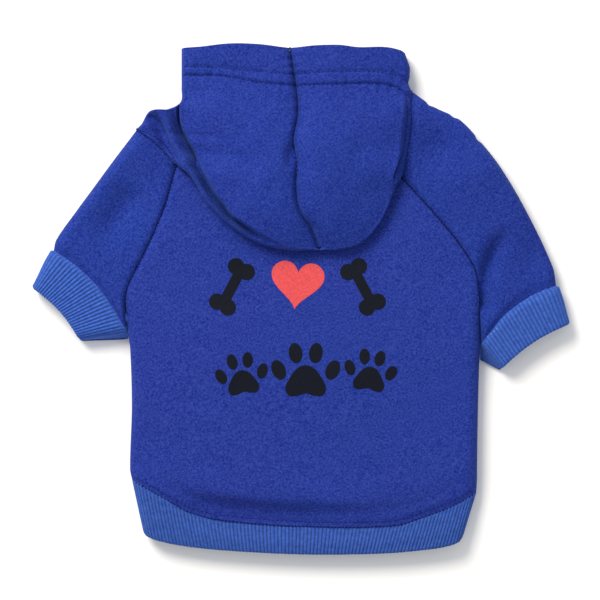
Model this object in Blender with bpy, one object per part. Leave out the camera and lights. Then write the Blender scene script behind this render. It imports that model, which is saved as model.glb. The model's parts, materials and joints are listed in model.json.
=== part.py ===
"""Dog hoodie lying belly down, its hood folded over the back.

The body is a flattened tube of two fleece panels, with raglan sleeves, rib knit cuffs and hem band, and a
hood of two halves. X runs across the body, +Y towards the hood's mouth and +Z up from the surface below.
"""

import math

import bpy
from mathutils import Vector

# Body, laid flat
BODY_HALF_WIDTH = 0.1008
SIDE_LENGTH = 0.0853
RAGLAN_RISE = 0.0972
LAY_SKEW = 0.0070
HEM_DROP = 0.0233
BELLY_HEM_RISE = 0.0200
BACK_NECK_DIP = 0.0095
FRONT_NECK_RISE = 0.0084

# Layers
LAY_HEIGHT = 0.0130
BODY_CROWN = 0.0012
CLOTH = 0.0020
RIB_KNIT = 0.0026
SEAM_GAP = 0.0004
SEAM_SINK = 0.0015
UNDER_SINK = 0.0003
SEAM_EASE = 0.0060
UNDERARM_FADE = 0.32
CROWN_GAP = 0.0008
NECK_GAP = 0.0007

# Sleeves and cuffs
SLEEVE_BULGE = 0.0139
NECK_SEAM_BOW = 0.0015
CUFF_LENGTH = 0.0255
CUFF_BOW = 0.0050
CUFF_OPENING_BOW = 0.0027

# Hem band
BAND_CORNER_DEPTH = 0.0313
BAND_CORNER_INSET = 0.0070
BAND_DROP = 0.0081
BAND_BELLY_RISE = 0.0345

# Rib knit
RIB_PITCH = 0.0024
RIB_DEPTH = 0.0005
EDGE_ROUND = 0.0007

# Hood
HOOD_HALF_WIDTH = 0.0655
HOOD_REACH = 0.0722
HOOD_FALL = 0.0459
HOOD_SHIFT = 0.0035
HOOD_HEIGHT = 0.0275
HOOD_BAG_HEIGHT = 0.0120
NAPE_CLEARANCE = 0.0007
NAPE_SETBACK = 0.0050
NECK_EDGE_HEIGHT = 0.0120
CASING_STEP = 0.0012
ROLL_GROOVE = 0.0028
ROLL_SHARE = 0.04

LEFT = -1
RIGHT = 1

# Side fold from the hem corner (0) to the underarm (1), as shares of the half width out from the middle
#             up    left   right
SIDE_ROWS = (
    (0.00, 0.991, 0.985),
    (0.08, 1.004, 0.989),
    (0.50, 0.994, 0.994),
    (0.90, 1.004, 1.003),
    (1.00, 1.017, 1.009),
)

# Raglan seam from the underarm (0) to the neck (1), as shares of the half width out from the middle
#               up    left   right
RAGLAN_ROWS = (
    (0.00, 1.017, 1.009),
    (0.10, 1.025, 1.006),
    (0.20, 1.029, 1.000),
    (0.30, 1.004, 0.998),
    (0.45, 0.931, 0.976),
    (0.60, 0.863, 0.888),
    (0.75, 0.804, 0.769),
    (0.90, 0.762, 0.640),
    (1.00, 0.735, 0.550),
)

# Hem seam across the back from left (0) to right (1), as a share of the hem drop
#            across  drop
HEM_ROWS = (
    (0.00, 0.00),
    (0.08, 0.36),
    (0.17, 0.76),
    (0.27, 0.92),
    (0.49, 1.00),
    (0.76, 0.89),
    (0.84, 0.67),
    (0.93, 0.36),
    (1.00, 0.00),
)

# Lower edge of the band from left (0) to right (1), as a share of the band drop
#             across  drop
BAND_ROWS = (
    (0.00, 0.00),
    (0.04, 0.36),
    (0.12, 0.70),
    (0.25, 0.92),
    (0.50, 1.00),
    (0.75, 0.70),
    (0.97, 0.25),
    (1.00, 0.00),
)

# Sleeve's outer fold from the neck (0) to the cuff (1), as shares of the sleeve bulge
#              along  left  right
SLEEVE_ROWS = (
    (0.00, 0.00, 0.00),
    (0.11, 0.03, 0.34),
    (0.21, 0.06, 0.78),
    (0.35, 0.09, 0.95),
    (0.48, 0.11, 1.00),
    (0.69, 0.14, 0.78),
    (0.93, 0.10, 0.26),
    (1.00, 0.00, 0.00),
)

# Each sleeve: the cuff seam's length and lift above the horizontal, the neck seam's outer end from the
# raglan's top, and the cuff's two opening corners from its seam's ends, as shares of the cuff length
#                 length  angle   neck end out and up      outer corner     lower corner
SLEEVES = {
    LEFT: (0.0642, 48.2, (0.0232, 0.0203), (0.50, -0.83), (1.08, -0.16)),
    RIGHT: (0.0556, 38.1, (0.0064, 0.0496), (0.32, -0.85), (0.45, -0.55)),
}

# Crown seam from the mouth (-1) past the neck (0) to the back fold (1), as shares of the hood's half width
# and height
#              back   across  high
CROWN_ROWS = (
    (-1.00, -0.046, 0.49),
    (-0.81, -0.010, 0.55),
    (-0.57, 0.025, 0.66),
    (-0.43, 0.025, 0.75),
    (-0.24, -0.010, 0.86),
    (-0.05, 0.018, 0.93),
    (0.13, 0.011, 0.96),
    (0.36, 0.020, 0.98),
    (0.51, 0.046, 0.99),
    (0.63, 0.096, 0.99),
    (0.71, 0.146, 0.99),
)

# Hood sections from the mouth to the neck seam: the fold's place, the crown seam's place, and the throat
# edge's place, a share of the way (-1 mouth to 0 neck) down the middle, then along neckline and neck seam
#                 fold across and back   crown  throat
THROAT_ROWS = {
    LEFT: (
        (-1.00, -0.99, -1.00, -0.98),
        (-1.00, -0.84, -0.84, -0.82),
        (-1.00, -0.77, -0.77, -0.74),
        (-1.00, -0.75, -0.75, -0.70),
        (-1.00, -0.67, -0.67, -0.52),
        (-1.01, -0.55, -0.53, -0.26),
        (-1.14, -0.49, -0.43, 0.00),
        (-1.28, -0.48, -0.35, 0.50),
        (-1.35, -0.38, -0.28, 0.98),
        (-1.38, -0.35, -0.24, 1.50),
    ),
    RIGHT: (
        (0.97, -0.95, -1.00, -0.98),
        (1.01, -0.84, -0.84, -0.82),
        (1.01, -0.77, -0.77, -0.74),
        (1.01, -0.75, -0.75, -0.70),
        (1.00, -0.71, -0.67, -0.40),
        (1.01, -0.68, -0.58, 0.00),
        (1.02, -0.66, -0.50, 0.50),
        (1.025, -0.65, -0.44, 0.98),
        (1.03, -0.64, -0.39, 1.50),
    ),
}
CASING_SECTIONS = 3

# Hood sections along the neck seam: share from its outer end to the raglan's top, crown seam's place, and the
# cloth's lean where it leaves the seam, 0 upright to 1 level
#               along  crown left and right  lean
NECK_ROWS = (
    (0.00, -0.19, -0.33, 0.00),
    (0.30, -0.14, -0.24, 0.50),
    (0.65, -0.06, -0.12, 0.50),
    (1.00, 0.06, 0.05, 0.00),
)

# Hood sections from the raglan's top to the back fold: the fold's place, the crown seam's place, and the
# place along the back neckline, from either side (0) to its middle (0.5)
#               fold across and back  crown  nape
NAPE_ROWS = {
    LEFT: (
        (-0.93, 0.05, 0.16, 0.10),
        (-0.86, 0.19, 0.25, 0.15),
        (-0.79, 0.36, 0.36, 0.21),
        (-0.57, 0.69, 0.48, 0.31),
        (-0.34, 0.90, 0.57, 0.39),
        (-0.07, 1.00, 0.65, 0.45),
        (0.219, 1.00, 0.71, 0.50),
    ),
    RIGHT: (
        (0.90, 0.16, 0.15, 0.08),
        (0.86, 0.30, 0.25, 0.13),
        (0.80, 0.52, 0.38, 0.20),
        (0.70, 0.75, 0.50, 0.30),
        (0.56, 0.93, 0.59, 0.38),
        (0.38, 1.00, 0.65, 0.45),
        (0.219, 1.00, 0.71, 0.50),
    ),
}

# Dents of the hood's upper layer: place, depth as a share of the hood's height, reach as a share of its
# half width
#              across  back  depth reach
HOOD_DENTS = (
    (-1.18, -0.34, 0.16, 0.12),
    (1.00, -0.20, 0.10, 0.10),
    (-0.30, -0.45, 0.04, 0.30),
)

ARC_STEPS = 4
PANEL_FLATS = 9
SLEEVE_FLATS = 4
SIDE_STATIONS = 6
RAGLAN_STATIONS = 10
SLEEVE_STATIONS = 11
RING_STATIONS = 2
CROWN_FLATS = 5
LEG_STEPS = 3

FLEECE_BLUE = (0.026, 0.045, 0.30)
RIB_BLUE = (0.045, 0.115, 0.45)

for old in list(bpy.data.objects):
    bpy.data.objects.remove(old)


def ease(share):
    """Smooth step from 0 to 1."""
    share = min(max(share, 0.0), 1.0)
    return share * share * (3 - 2 * share)


def read(rows, share, column):
    """Smooth value of a table's column at a share along its first column."""
    last = len(rows) - 1
    share = min(max(share, rows[0][0]), rows[last][0])
    at = max(i for i in range(last) if rows[i][0] <= share)
    slopes = []
    for i in (at, at + 1):
        before, after = rows[max(i - 1, 0)], rows[min(i + 1, last)]
        slopes.append((after[column] - before[column]) / (after[0] - before[0]))
    low, high = rows[at], rows[at + 1]
    span = high[0] - low[0]
    t = (share - low[0]) / span
    return (
        (2 * t**3 - 3 * t**2 + 1) * low[column]
        + (t**3 - 2 * t**2 + t) * span * slopes[0]
        + (3 * t**2 - 2 * t**3) * high[column]
        + (t**3 - t**2) * span * slopes[1]
    )


def cloth_material(name, colour):
    """Matt cloth in one colour."""
    material = bpy.data.materials.new(name)
    material.use_nodes = True
    shader = material.node_tree.nodes["Principled BSDF"]
    shader.inputs["Base Color"].default_value = (*colour, 1)
    shader.inputs["Roughness"].default_value = 0.9
    shader.inputs["Metallic"].default_value = 0.0
    return material


def wall(name, outer, inner, colour, ring=False):
    """Closed cloth wall between two grids of points. The columns of a ring meet round it."""
    points = []
    number = {}

    def point(place):
        key = tuple(round(value, 7) for value in place)
        if key not in number:
            number[key] = len(points)
            points.append(place)
        return number[key]

    faces = []

    def face(*corners):
        corners = [c for i, c in enumerate(corners) if c != corners[i - 1]]
        if len(set(corners)) == len(corners) > 2:
            faces.append(corners)

    out = [[point(p) for p in row] for row in outer]
    back = [[point(p) for p in row] for row in inner]
    rows, columns = len(out), len(out[0])
    for i in range(rows - 1):
        for j in range(columns if ring else columns - 1):
            k = (j + 1) % columns
            face(out[i][j], out[i][k], out[i + 1][k], out[i + 1][j])
            face(back[i][j], back[i + 1][j], back[i + 1][k], back[i][k])
        if not ring:
            face(out[i][0], out[i + 1][0], back[i + 1][0], back[i][0])
            face(out[i][-1], back[i][-1], back[i + 1][-1], out[i + 1][-1])
    for j in range(columns if ring else columns - 1):
        k = (j + 1) % columns
        face(out[0][j], back[0][j], back[0][k], out[0][k])
        face(out[-1][j], out[-1][k], back[-1][k], back[-1][j])
    mesh = bpy.data.meshes.new(name)
    mesh.from_pydata(points, [], faces)
    mesh.validate()
    volume = 0.0
    mesh.calc_loop_triangles()
    for triangle in mesh.loop_triangles:
        a, b, c = (mesh.vertices[i].co for i in triangle.vertices)
        volume += a.dot(b.cross(c))
    if volume < 0:
        mesh.flip_normals()
    mesh.shade_smooth()
    mesh.set_sharp_from_angle(angle=math.radians(50))
    mesh.materials.append(cloth_material(name + "_cloth", colour))
    body = bpy.data.objects.new(name, mesh)
    bpy.context.collection.objects.link(body)
    return body


def spread(west, east, south, north):
    """Plan of a piece between its four edges: a function of the shares across and along."""

    def at(across, along):
        ruled = west(along).lerp(east(along), across)
        ends = south(across).lerp(north(across), along)
        corners = south(0).lerp(south(1), across).lerp(north(0).lerp(north(1), across), along)
        return ruled + ends - corners

    return at


def layer(length, height, knit, sinks, flats, ripple=0.0):
    """Section of an upper layer as outer and inner (place, height) pairs, its edges rounded down by sinks."""
    radius = height / 2
    sides = []
    for sink in sinks:
        start = math.asin(max(0.0, 1 - sink / radius))
        side = []
        for step in range(ARC_STEPS):
            angle = start + (math.pi / 2 - start) * step / ARC_STEPS
            reach = radius * math.cos(start)
            bend = radius - knit
            side.append(
                (
                    (reach - radius * math.cos(angle), height - radius + radius * math.sin(angle)),
                    (reach - bend * math.cos(angle), height - radius + bend * math.sin(angle)),
                )
            )
        sides.append((radius * math.cos(start), side))
    section = list(sides[0][1])
    first, last = sides[0][0], length - sides[1][0]
    for step in range(flats + 1):
        place = first + (last - first) * step / flats
        dip = ripple if step % 2 else 0.0
        section.append(((place, height - dip), (place, height - knit)))
    for outer, inner in reversed(sides[1][1]):
        section.append(((length - outer[0], outer[1]), (length - inner[0], inner[1])))
    return section


def body_edge(side, along):
    """Plan of a side of the body, from the hem corner (0) up its fold and the raglan seam to the neck (1)."""
    rise = along * (SIDE_LENGTH + RAGLAN_RISE)
    column = 1 if side == LEFT else 2
    if rise < SIDE_LENGTH:
        out = read(SIDE_ROWS, rise / SIDE_LENGTH, column)
    else:
        out = read(RAGLAN_ROWS, (rise - SIDE_LENGTH) / RAGLAN_RISE, column)
    skew = LAY_SKEW if side == RIGHT else 0.0
    return Vector((side * BODY_HALF_WIDTH * out, rise - skew))


def raglan(side, share):
    """Plan of a raglan seam from the underarm (0) to the neck (1)."""
    return body_edge(side, (SIDE_LENGTH + share * RAGLAN_RISE) / (SIDE_LENGTH + RAGLAN_RISE))


def seam_sink(share, shallow):
    """Depth of the raglan's valley: a whole fold at the underarm (0), fading to the shallow value."""
    deep = LAY_HEIGHT / 2 - SEAM_GAP / 2
    return deep + (shallow - deep) * ease(share / UNDERARM_FADE)


def bowed(start, end, share, rise):
    """Point between two plan points, pushed up by a half sine wave."""
    return start.lerp(end, share) + Vector((0, rise * math.sin(math.pi * share)))


def hem_seam(across):
    """Hem seam on the back."""
    drop = HEM_DROP * read(HEM_ROWS, across, 1)
    return body_edge(LEFT, 0).lerp(body_edge(RIGHT, 0), across) - Vector((0, drop))


def belly_seam(across):
    """Hem seam on the belly, cut higher than on the back."""
    rise = BELLY_HEM_RISE * math.sqrt(math.sin(math.pi * min(max(across, 0), 1)))
    return body_edge(LEFT, 0).lerp(body_edge(RIGHT, 0), across) + Vector((0, rise))


def back_neck(across):
    """Neckline of the back, under the hood."""
    return bowed(raglan(LEFT, 1), raglan(RIGHT, 1), across, -BACK_NECK_DIP)


def front_neck(across):
    """Neckline of the belly side."""
    return bowed(raglan(LEFT, 1), raglan(RIGHT, 1), across, FRONT_NECK_RISE)


def end_dip(distance):
    """How far a layer sinks towards a seam across its end."""
    return SEAM_SINK * (1 - ease(distance / SEAM_EASE))


def body_panel(name, seam, neck, upper):
    """One layer of the body, from its hem seam to its neckline."""
    plan = spread(lambda t: body_edge(LEFT, t), lambda t: body_edge(RIGHT, t), seam, neck)
    whole = SIDE_LENGTH + RAGLAN_RISE
    rises = [SIDE_LENGTH * i / SIDE_STATIONS for i in range(SIDE_STATIONS)]
    rises += [SIDE_LENGTH + RAGLAN_RISE * i / RAGLAN_STATIONS for i in range(RAGLAN_STATIONS + 1)]
    rises[0] = SEAM_GAP
    rises.insert(1, SEAM_EASE)
    rises.insert(-1, whole - SEAM_EASE)
    rises[-1] = whole - SEAM_GAP
    outer, inner = [], []
    for rise in rises:
        along = rise / whole
        length = (plan(1, along) - plan(0, along)).length
        sink = seam_sink((rise - SIDE_LENGTH) / RAGLAN_RISE, SEAM_SINK if upper else UNDER_SINK)
        dip = end_dip(min(rise, whole - rise)) if upper else 0.0
        out_row, in_row = [], []
        for pair in layer(length - SEAM_GAP, LAY_HEIGHT, CLOTH, (sink, sink), PANEL_FLATS):
            for (place, height), row in zip(pair, (out_row, in_row)):
                across = (place + SEAM_GAP / 2) / length
                flat = plan(across, along)
                if upper:
                    crown = BODY_CROWN * math.sin(math.pi * across) * math.sin(math.pi * along)
                    height += crown - dip * (height / LAY_HEIGHT * 2 - 1)
                else:
                    height = LAY_HEIGHT - height
                row.append(Vector((*flat, height)))
        outer.append(out_row)
        inner.append(in_row)
    return wall(name, outer, inner, FLEECE_BLUE)


def neck_end(side):
    """Outer end of the neck seam, where it meets the sleeve's outer fold."""
    out, up = SLEEVES[side][2]
    return raglan(side, 1) + Vector((side * out, up))


def neck_seam(side, share):
    """Neck seam on a sleeve, from its outer end (0) to the raglan's top (1)."""
    start, end = neck_end(side), raglan(side, 1)
    run = (end - start).normalized()
    return start.lerp(end, share) + Vector((-run.y, run.x)) * NECK_SEAM_BOW * math.sin(math.pi * share)


def cuff_corner(side):
    """Outer end of the cuff seam."""
    length, angle = SLEEVES[side][:2]
    run = Vector((side * math.cos(math.radians(angle)), math.sin(math.radians(angle))))
    return raglan(side, 0) + run * length


def cuff_line(side, lower, outer, bow, share):
    """Line across a cuff from its lower fold (0) to its outer fold (1), bowed towards the sleeve."""
    run = (outer - lower).normalized()
    up = Vector((-run.y, run.x)) * side
    return lower.lerp(outer, share) + up * bow * math.sin(math.pi * share)


def cuff_seam(side, share):
    """Seam between a sleeve and its cuff."""
    return cuff_line(side, raglan(side, 0), cuff_corner(side), CUFF_BOW, share)


def cuff_opening(side, share):
    """Open edge of a cuff."""
    outer_step, lower_step = SLEEVES[side][3:]
    lower = raglan(side, 0) + Vector((side * lower_step[0], lower_step[1])) * CUFF_LENGTH
    outer = cuff_corner(side) + Vector((side * outer_step[0], outer_step[1])) * CUFF_LENGTH
    return cuff_line(side, lower, outer, CUFF_OPENING_BOW, share)


def sleeve_fold(side, share):
    """Outer fold of a sleeve from the neck (0) to the cuff (1)."""
    start, end = neck_end(side), cuff_corner(side)
    run = (end - start).normalized()
    out = Vector((-run.y, run.x)) * side
    return start.lerp(end, share) + out * SLEEVE_BULGE * read(SLEEVE_ROWS, share, 1 if side == LEFT else 2)


def sleeve(name, side):
    """Raglan sleeve: one strip from the upper seam, round the outer fold, to the lower seam."""
    plan = spread(
        lambda t: raglan(side, 1 - t),
        lambda t: sleeve_fold(side, t),
        lambda t: neck_seam(side, 1 - t),
        lambda t: cuff_seam(side, t),
    )
    outer, inner = [], []
    for station in range(SLEEVE_STATIONS + 1):
        share = station / SLEEVE_STATIONS
        middle = (plan(0.5, 1) - plan(0.5, 0)).length
        along = SEAM_GAP / middle + share * (1 - 2 * SEAM_GAP / middle)
        length = (plan(1, along) - plan(0, along)).length
        dip = end_dip(min(share, 1 - share) * middle)
        rows = [[], []]
        for upper in (True, False):
            sink = seam_sink(1 - along, SEAM_SINK if upper else UNDER_SINK)
            section = layer(length - SEAM_GAP, LAY_HEIGHT, CLOTH, (sink, LAY_HEIGHT / 2), SLEEVE_FLATS)
            if not upper:
                section = section[-2::-1]
            for pair in section:
                for (place, height), row in zip(pair, rows):
                    flat = plan((place + SEAM_GAP) / length, along)
                    if upper:
                        height -= dip * (height / LAY_HEIGHT * 2 - 1)
                    else:
                        height = LAY_HEIGHT - height
                    row.append(Vector((*flat, height)))
        outer.append(rows[0])
        inner.append(rows[1])
    return wall(name, outer, inner, FLEECE_BLUE)


def knit_ring(name, upper_seam, upper_edge, lower_seam, lower_edge):
    """Folded band of rib knit: a flattened ring from its seam to its free edge, ribbed on the upper side."""
    depth = (upper_edge(0.5) - upper_seam(0.5)).length
    ribs = round((upper_seam(1) - upper_seam(0)).length / RIB_PITCH)
    straight = depth - EDGE_ROUND - SEAM_GAP
    stations = [(SEAM_GAP + straight * i / RING_STATIONS, 0.0) for i in range(RING_STATIONS + 1)]
    stations.append((depth, EDGE_ROUND))
    outer, inner = [], []
    for run, round_off in stations:
        along = run / depth
        rows = [[], []]
        for upper in (True, False):
            seam, edge = (upper_seam, upper_edge) if upper else (lower_seam, lower_edge)
            length = (seam(1).lerp(edge(1), along) - seam(0).lerp(edge(0), along)).length
            fold = LAY_HEIGHT / 2
            flats = 2 * ribs if upper else PANEL_FLATS
            ripple = RIB_DEPTH if upper else 0.0
            section = layer(length, LAY_HEIGHT, RIB_KNIT, (fold, fold), flats, ripple)
            if not upper:
                section = section[-2:0:-1]
            for pair in section:
                for number, ((place, height), row) in enumerate(zip(pair, rows)):
                    across = place / length
                    if number == 0:
                        squeeze = round_off / LAY_HEIGHT * 2
                        height = LAY_HEIGHT / 2 + (height - LAY_HEIGHT / 2) * (1 - squeeze)
                        across = 0.5 + (across - 0.5) * (1 - 2 * round_off / length)
                    if not upper:
                        height = LAY_HEIGHT - height
                    flat = seam(across).lerp(edge(across), along)
                    row.append(Vector((*flat, height)))
        outer.append(rows[0])
        inner.append(rows[1])
    return wall(name, outer, inner, RIB_BLUE, ring=True)


def band_edge(rise):
    """Lower edge of the hem band: on the back it drops, on the belly it rises by this much."""

    def at(across):
        left = body_edge(LEFT, 0) + Vector((BAND_CORNER_INSET, -BAND_CORNER_DEPTH))
        right = body_edge(RIGHT, 0) + Vector((-BAND_CORNER_INSET, -BAND_CORNER_DEPTH))
        if rise:
            lift = rise * math.sqrt(math.sin(math.pi * min(max(across, 0), 1)))
        else:
            lift = -BAND_DROP * read(BAND_ROWS, across, 1)
        return left.lerp(right, across) + Vector((0, lift))

    return at


def hood_place(across, back):
    """Plan point of the hood: across in half widths, back from the mouth (-1) past the neck to the fold (1)."""
    neck = raglan(LEFT, 1).lerp(raglan(RIGHT, 1), 0.5)
    run = HOOD_FALL if back > 0 else HOOD_REACH
    return neck + Vector((HOOD_SHIFT + across * HOOD_HALF_WIDTH, -back * run))


def throat_edge(side, share):
    """Edge of the hood's lower layer: down the middle (-1 to 0), the neckline (to 1) and neck seam (to 2)."""
    if share < 0:
        mouth = hood_place(CROWN_ROWS[0][1], -1)
        return mouth.lerp(front_neck(0.5), 1 + share)
    if share <= 1:
        return front_neck(0.5 + side * share / 2)
    return neck_seam(side, 2 - share)


def dented(place, height):
    """Height of the hood's upper layer after its dents."""
    for across, back, depth, reach in HOOD_DENTS:
        away = (place - hood_place(across, back)).length / (reach * HOOD_HALF_WIDTH)
        height -= depth * HOOD_HEIGHT * math.exp(-away * away)
    return height


def hood_section(fold, crown, high, edge, low, thick, lean, knit, groove):
    """Section of a hood half from its lower edge round its fold to the crown seam, outer and inner points.

    edge is the end of the lower layer, whose underside is at low. Along the neck seam edge is None: the cloth
    starts at the fold, low is its height there, and lean tips it from upright (0) to level (1).
    """
    radius = thick / 2
    inward = (crown - fold).normalized()
    reach = (crown - fold).length
    outer, inner = [], []
    start = math.pi / 2 * lean
    if edge:
        centre = low + radius
        leg = (edge - fold).length
        under = (edge - fold).normalized()
        for step in range(LEG_STEPS):
            run = leg + (radius - leg) * step / LEG_STEPS
            outer.append(Vector((*(fold + under * run), low)))
            inner.append(Vector((*(fold + under * run), low + knit)))
        for step in range(ARC_STEPS):
            angle = math.pi / 2 * (1 - step / ARC_STEPS)
            for row, bend in ((outer, radius), (inner, radius - knit)):
                place = fold + under * (radius - bend * math.cos(angle))
                row.append(Vector((*place, centre - bend * math.sin(angle))))
    else:
        centre = low - radius * math.sin(start)
    turn = radius * math.cos(start)
    for step in range(ARC_STEPS):
        angle = start + (math.pi / 2 - start) * step / ARC_STEPS
        for row, bend in ((outer, radius), (inner, radius - knit)):
            place = fold + inward * (turn - bend * math.cos(angle))
            row.append(Vector((*place, centre + bend * math.sin(angle))))
    if not edge:
        for row in (outer, inner):
            row[:0] = [row[0].copy() for _ in range(LEG_STEPS + ARC_STEPS)]
    crest = centre + radius
    shares = [0, ROLL_SHARE, 2 * ROLL_SHARE]
    shares += [2 * ROLL_SHARE + (1 - 2 * ROLL_SHARE) * (i + 1) / CROWN_FLATS for i in range(CROWN_FLATS)]
    for i, share in enumerate(shares):
        place = fold + inward * (turn + (reach - turn) * share)
        height = crest + (high - crest) * ease(share)
        if i == 1:
            height -= groove
        height = dented(place, height)
        outer.append(Vector((*place, height)))
        inner.append(Vector((*place, height - knit)))
    return outer, inner


def hood_half(name, side):
    """Half of the hood: the lower layer at the throat, the fold round its side, and the upper layer."""
    outer, inner = [], []

    def crown_point(back):
        place = hood_place(read(CROWN_ROWS, back, 1), back)
        return place + Vector((side * CROWN_GAP / 2, 0)), HOOD_HEIGHT * read(CROWN_ROWS, back, 2)

    def add(rows):
        outer.append(rows[0])
        inner.append(rows[1])

    middle = Vector((side * CROWN_GAP / 2, 0))
    for number, (across, back, crown_back, throat) in enumerate(THROAT_ROWS[side]):
        crown, high = crown_point(crown_back)
        edge = throat_edge(side, throat) + middle + Vector((0, NECK_GAP))
        knit = CLOTH + (CASING_STEP if number < CASING_SECTIONS else 0.0)
        fold = hood_place(across, back)
        add(hood_section(fold, crown, high, edge, 0.0, LAY_HEIGHT, 0.0, knit, 0.0))
    for share, *crown_backs, lean in NECK_ROWS:
        crown, high = crown_point(crown_backs[0 if side == LEFT else 1])
        seam = neck_seam(side, share)
        fold = seam + (crown - seam).normalized() * NECK_GAP
        low = NECK_EDGE_HEIGHT if share else LAY_HEIGHT / 2
        groove = ROLL_GROOVE / 2 if share > 0.5 else 0.0
        add(hood_section(fold, crown, high, None, low, HOOD_BAG_HEIGHT, lean, CLOTH, groove))
    nape_low = LAY_HEIGHT + BODY_CROWN + NAPE_CLEARANCE
    for across, back, crown_back, nape in NAPE_ROWS[side]:
        crown, high = crown_point(crown_back)
        edge = back_neck(nape if side == LEFT else 1 - nape) + Vector((0, NAPE_SETBACK)) + middle
        fold = hood_place(across, back) + middle
        add(hood_section(fold, crown, high, edge, nape_low, HOOD_BAG_HEIGHT, 0.0, CLOTH, ROLL_GROOVE))
    return wall(name, outer, inner, FLEECE_BLUE)


pieces = [
    body_panel("back_panel", hem_seam, back_neck, True),
    body_panel("belly_panel", belly_seam, front_neck, False),
    knit_ring("hem_band", hem_seam, band_edge(0.0), belly_seam, band_edge(BAND_BELLY_RISE)),
]
for side, word in ((LEFT, "left"), (RIGHT, "right")):
    pieces.append(sleeve("sleeve_" + word, side))
    seam = lambda share, side=side: cuff_seam(side, share)
    opening = lambda share, side=side: cuff_opening(side, share)
    pieces.append(knit_ring("cuff_" + word, seam, opening, seam, opening))
    pieces.append(hood_half("hood_" + word, side))

# The frame's origin is the middle of the laid hoodie, on the surface
corners = [vertex.co for piece in pieces for vertex in piece.data.vertices]
centre = Vector((
    (min(c.x for c in corners) + max(c.x for c in corners)) / 2,
    (min(c.y for c in corners) + max(c.y for c in corners)) / 2,
    min(c.z for c in corners),
))
for piece in pieces:
    for vertex in piece.data.vertices:
        vertex.co -= centre
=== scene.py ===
"""Dog hoodie of royal blue fleece, laid belly down with its hood folded over the back."""

import json
import math

import bmesh
import bpy
import numpy as np
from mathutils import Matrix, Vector
from mathutils.bvhtree import BVHTree
from mathutils.geometry import delaunay_2d_cdt

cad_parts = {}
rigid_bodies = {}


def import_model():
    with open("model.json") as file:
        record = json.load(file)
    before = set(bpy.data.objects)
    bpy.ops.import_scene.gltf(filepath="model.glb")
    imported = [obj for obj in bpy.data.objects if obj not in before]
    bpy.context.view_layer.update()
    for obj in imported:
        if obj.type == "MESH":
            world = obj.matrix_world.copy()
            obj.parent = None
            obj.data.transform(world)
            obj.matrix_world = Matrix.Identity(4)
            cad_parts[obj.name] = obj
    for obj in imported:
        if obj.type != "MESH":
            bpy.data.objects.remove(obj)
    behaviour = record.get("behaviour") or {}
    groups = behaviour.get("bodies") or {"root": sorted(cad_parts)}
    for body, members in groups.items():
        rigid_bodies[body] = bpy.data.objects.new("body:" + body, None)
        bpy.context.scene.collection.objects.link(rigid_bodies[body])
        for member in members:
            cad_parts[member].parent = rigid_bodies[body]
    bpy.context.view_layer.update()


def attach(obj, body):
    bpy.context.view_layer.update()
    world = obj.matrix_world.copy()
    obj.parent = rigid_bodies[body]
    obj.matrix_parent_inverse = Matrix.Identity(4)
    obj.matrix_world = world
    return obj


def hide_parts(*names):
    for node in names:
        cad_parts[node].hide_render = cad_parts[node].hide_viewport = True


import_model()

# Back panel
# The upper layer of the body, one piece of brushed cotton fleece 2 mm thick. It is sewn to the belly panel at
# the sides, to the sleeves along the raglan seams and to the rib band at the hem, and swells a little between.
LEFT, RIGHT = -1, 1
COLUMN = {LEFT: 1, RIGHT: 2}
BODY_HALF_WIDTH = 0.1008
SIDE_LENGTH = 0.0853
RAGLAN_RISE = 0.0972
LAY_SKEW = 0.0070
HEM_DROP = 0.0233
BACK_NECK_DIP = 0.0095
LAY_HEIGHT = 0.0130
BODY_CROWN = 0.0012
CLOTH = 0.0020
SEAM_GAP = 0.0002
SEAM_SINK = 0.0019
SEAM_EASE = 0.0060
UNDERARM_FADE = 0.32
HEM_ROLL = 0.0050
HEM_ROLL_LEAST = 0.08
HEM_ROLL_ACROSS = ((0.06, 0.26), (0.94, 0.38))
HEM_ROLL_UP = (0.0162, 0.0070)
HEM_SWELL = 0.25
HEM_SWELL_UP = 0.0190
HEM_SWELL_REACH = 0.0080
SIDE_DENT = 0.0016
SIDE_DENT_PLACE = -0.094 + 0.018j
SIDE_DENT_REACH = 0.016
SWELL = 0.0005
FINE_SWELL = 0.00014
BODY_ROWS = 132
BODY_FLATS = 120
ARC_STEPS = 8
SHARP_EDGE = math.radians(60)
FLEECE_BLUE = (0.0160, 0.0325, 0.246)
FLEECE_SHINE = {
    "Sheen_Weight": 0.16, "Sheen_Roughness": 0.35, "Sheen_Tint": (0.16, 0.42, 1.0, 1), "Specular_IOR_Level": 0.15,
}

# Puckers along seams: depth, pitch and reach
HEM_PUCKERS = (0.00022, 0.0085, 0.006)
RAGLAN_PUCKERS = (0.00035, 0.0060, 0.004)

# The laid hoodie's middle in the pattern's own plan, whose zero is the body's middle at the left hem corner
LAID_MIDDLE = -0.002172 + 0.104107j

# Side fold from the hem corner (0) to the underarm (1), as shares of the half width out from the middle
#             up    left   right
SIDE_ROWS = (
    (0.00, 0.991, 0.985),
    (0.08, 1.004, 0.989),
    (0.50, 0.994, 0.994),
    (0.90, 1.004, 1.003),
    (1.00, 1.017, 1.009),
)

# Raglan seam from the underarm (0) to the neck (1), as shares of the half width out from the middle
#               up    left   right
RAGLAN_ROWS = (
    (0.00, 1.017, 1.009),
    (0.10, 1.025, 1.006),
    (0.20, 1.029, 1.000),
    (0.30, 1.004, 0.998),
    (0.45, 0.931, 0.976),
    (0.60, 0.863, 0.888),
    (0.75, 0.804, 0.769),
    (0.90, 0.762, 0.640),
    (1.00, 0.735, 0.550),
)

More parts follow.
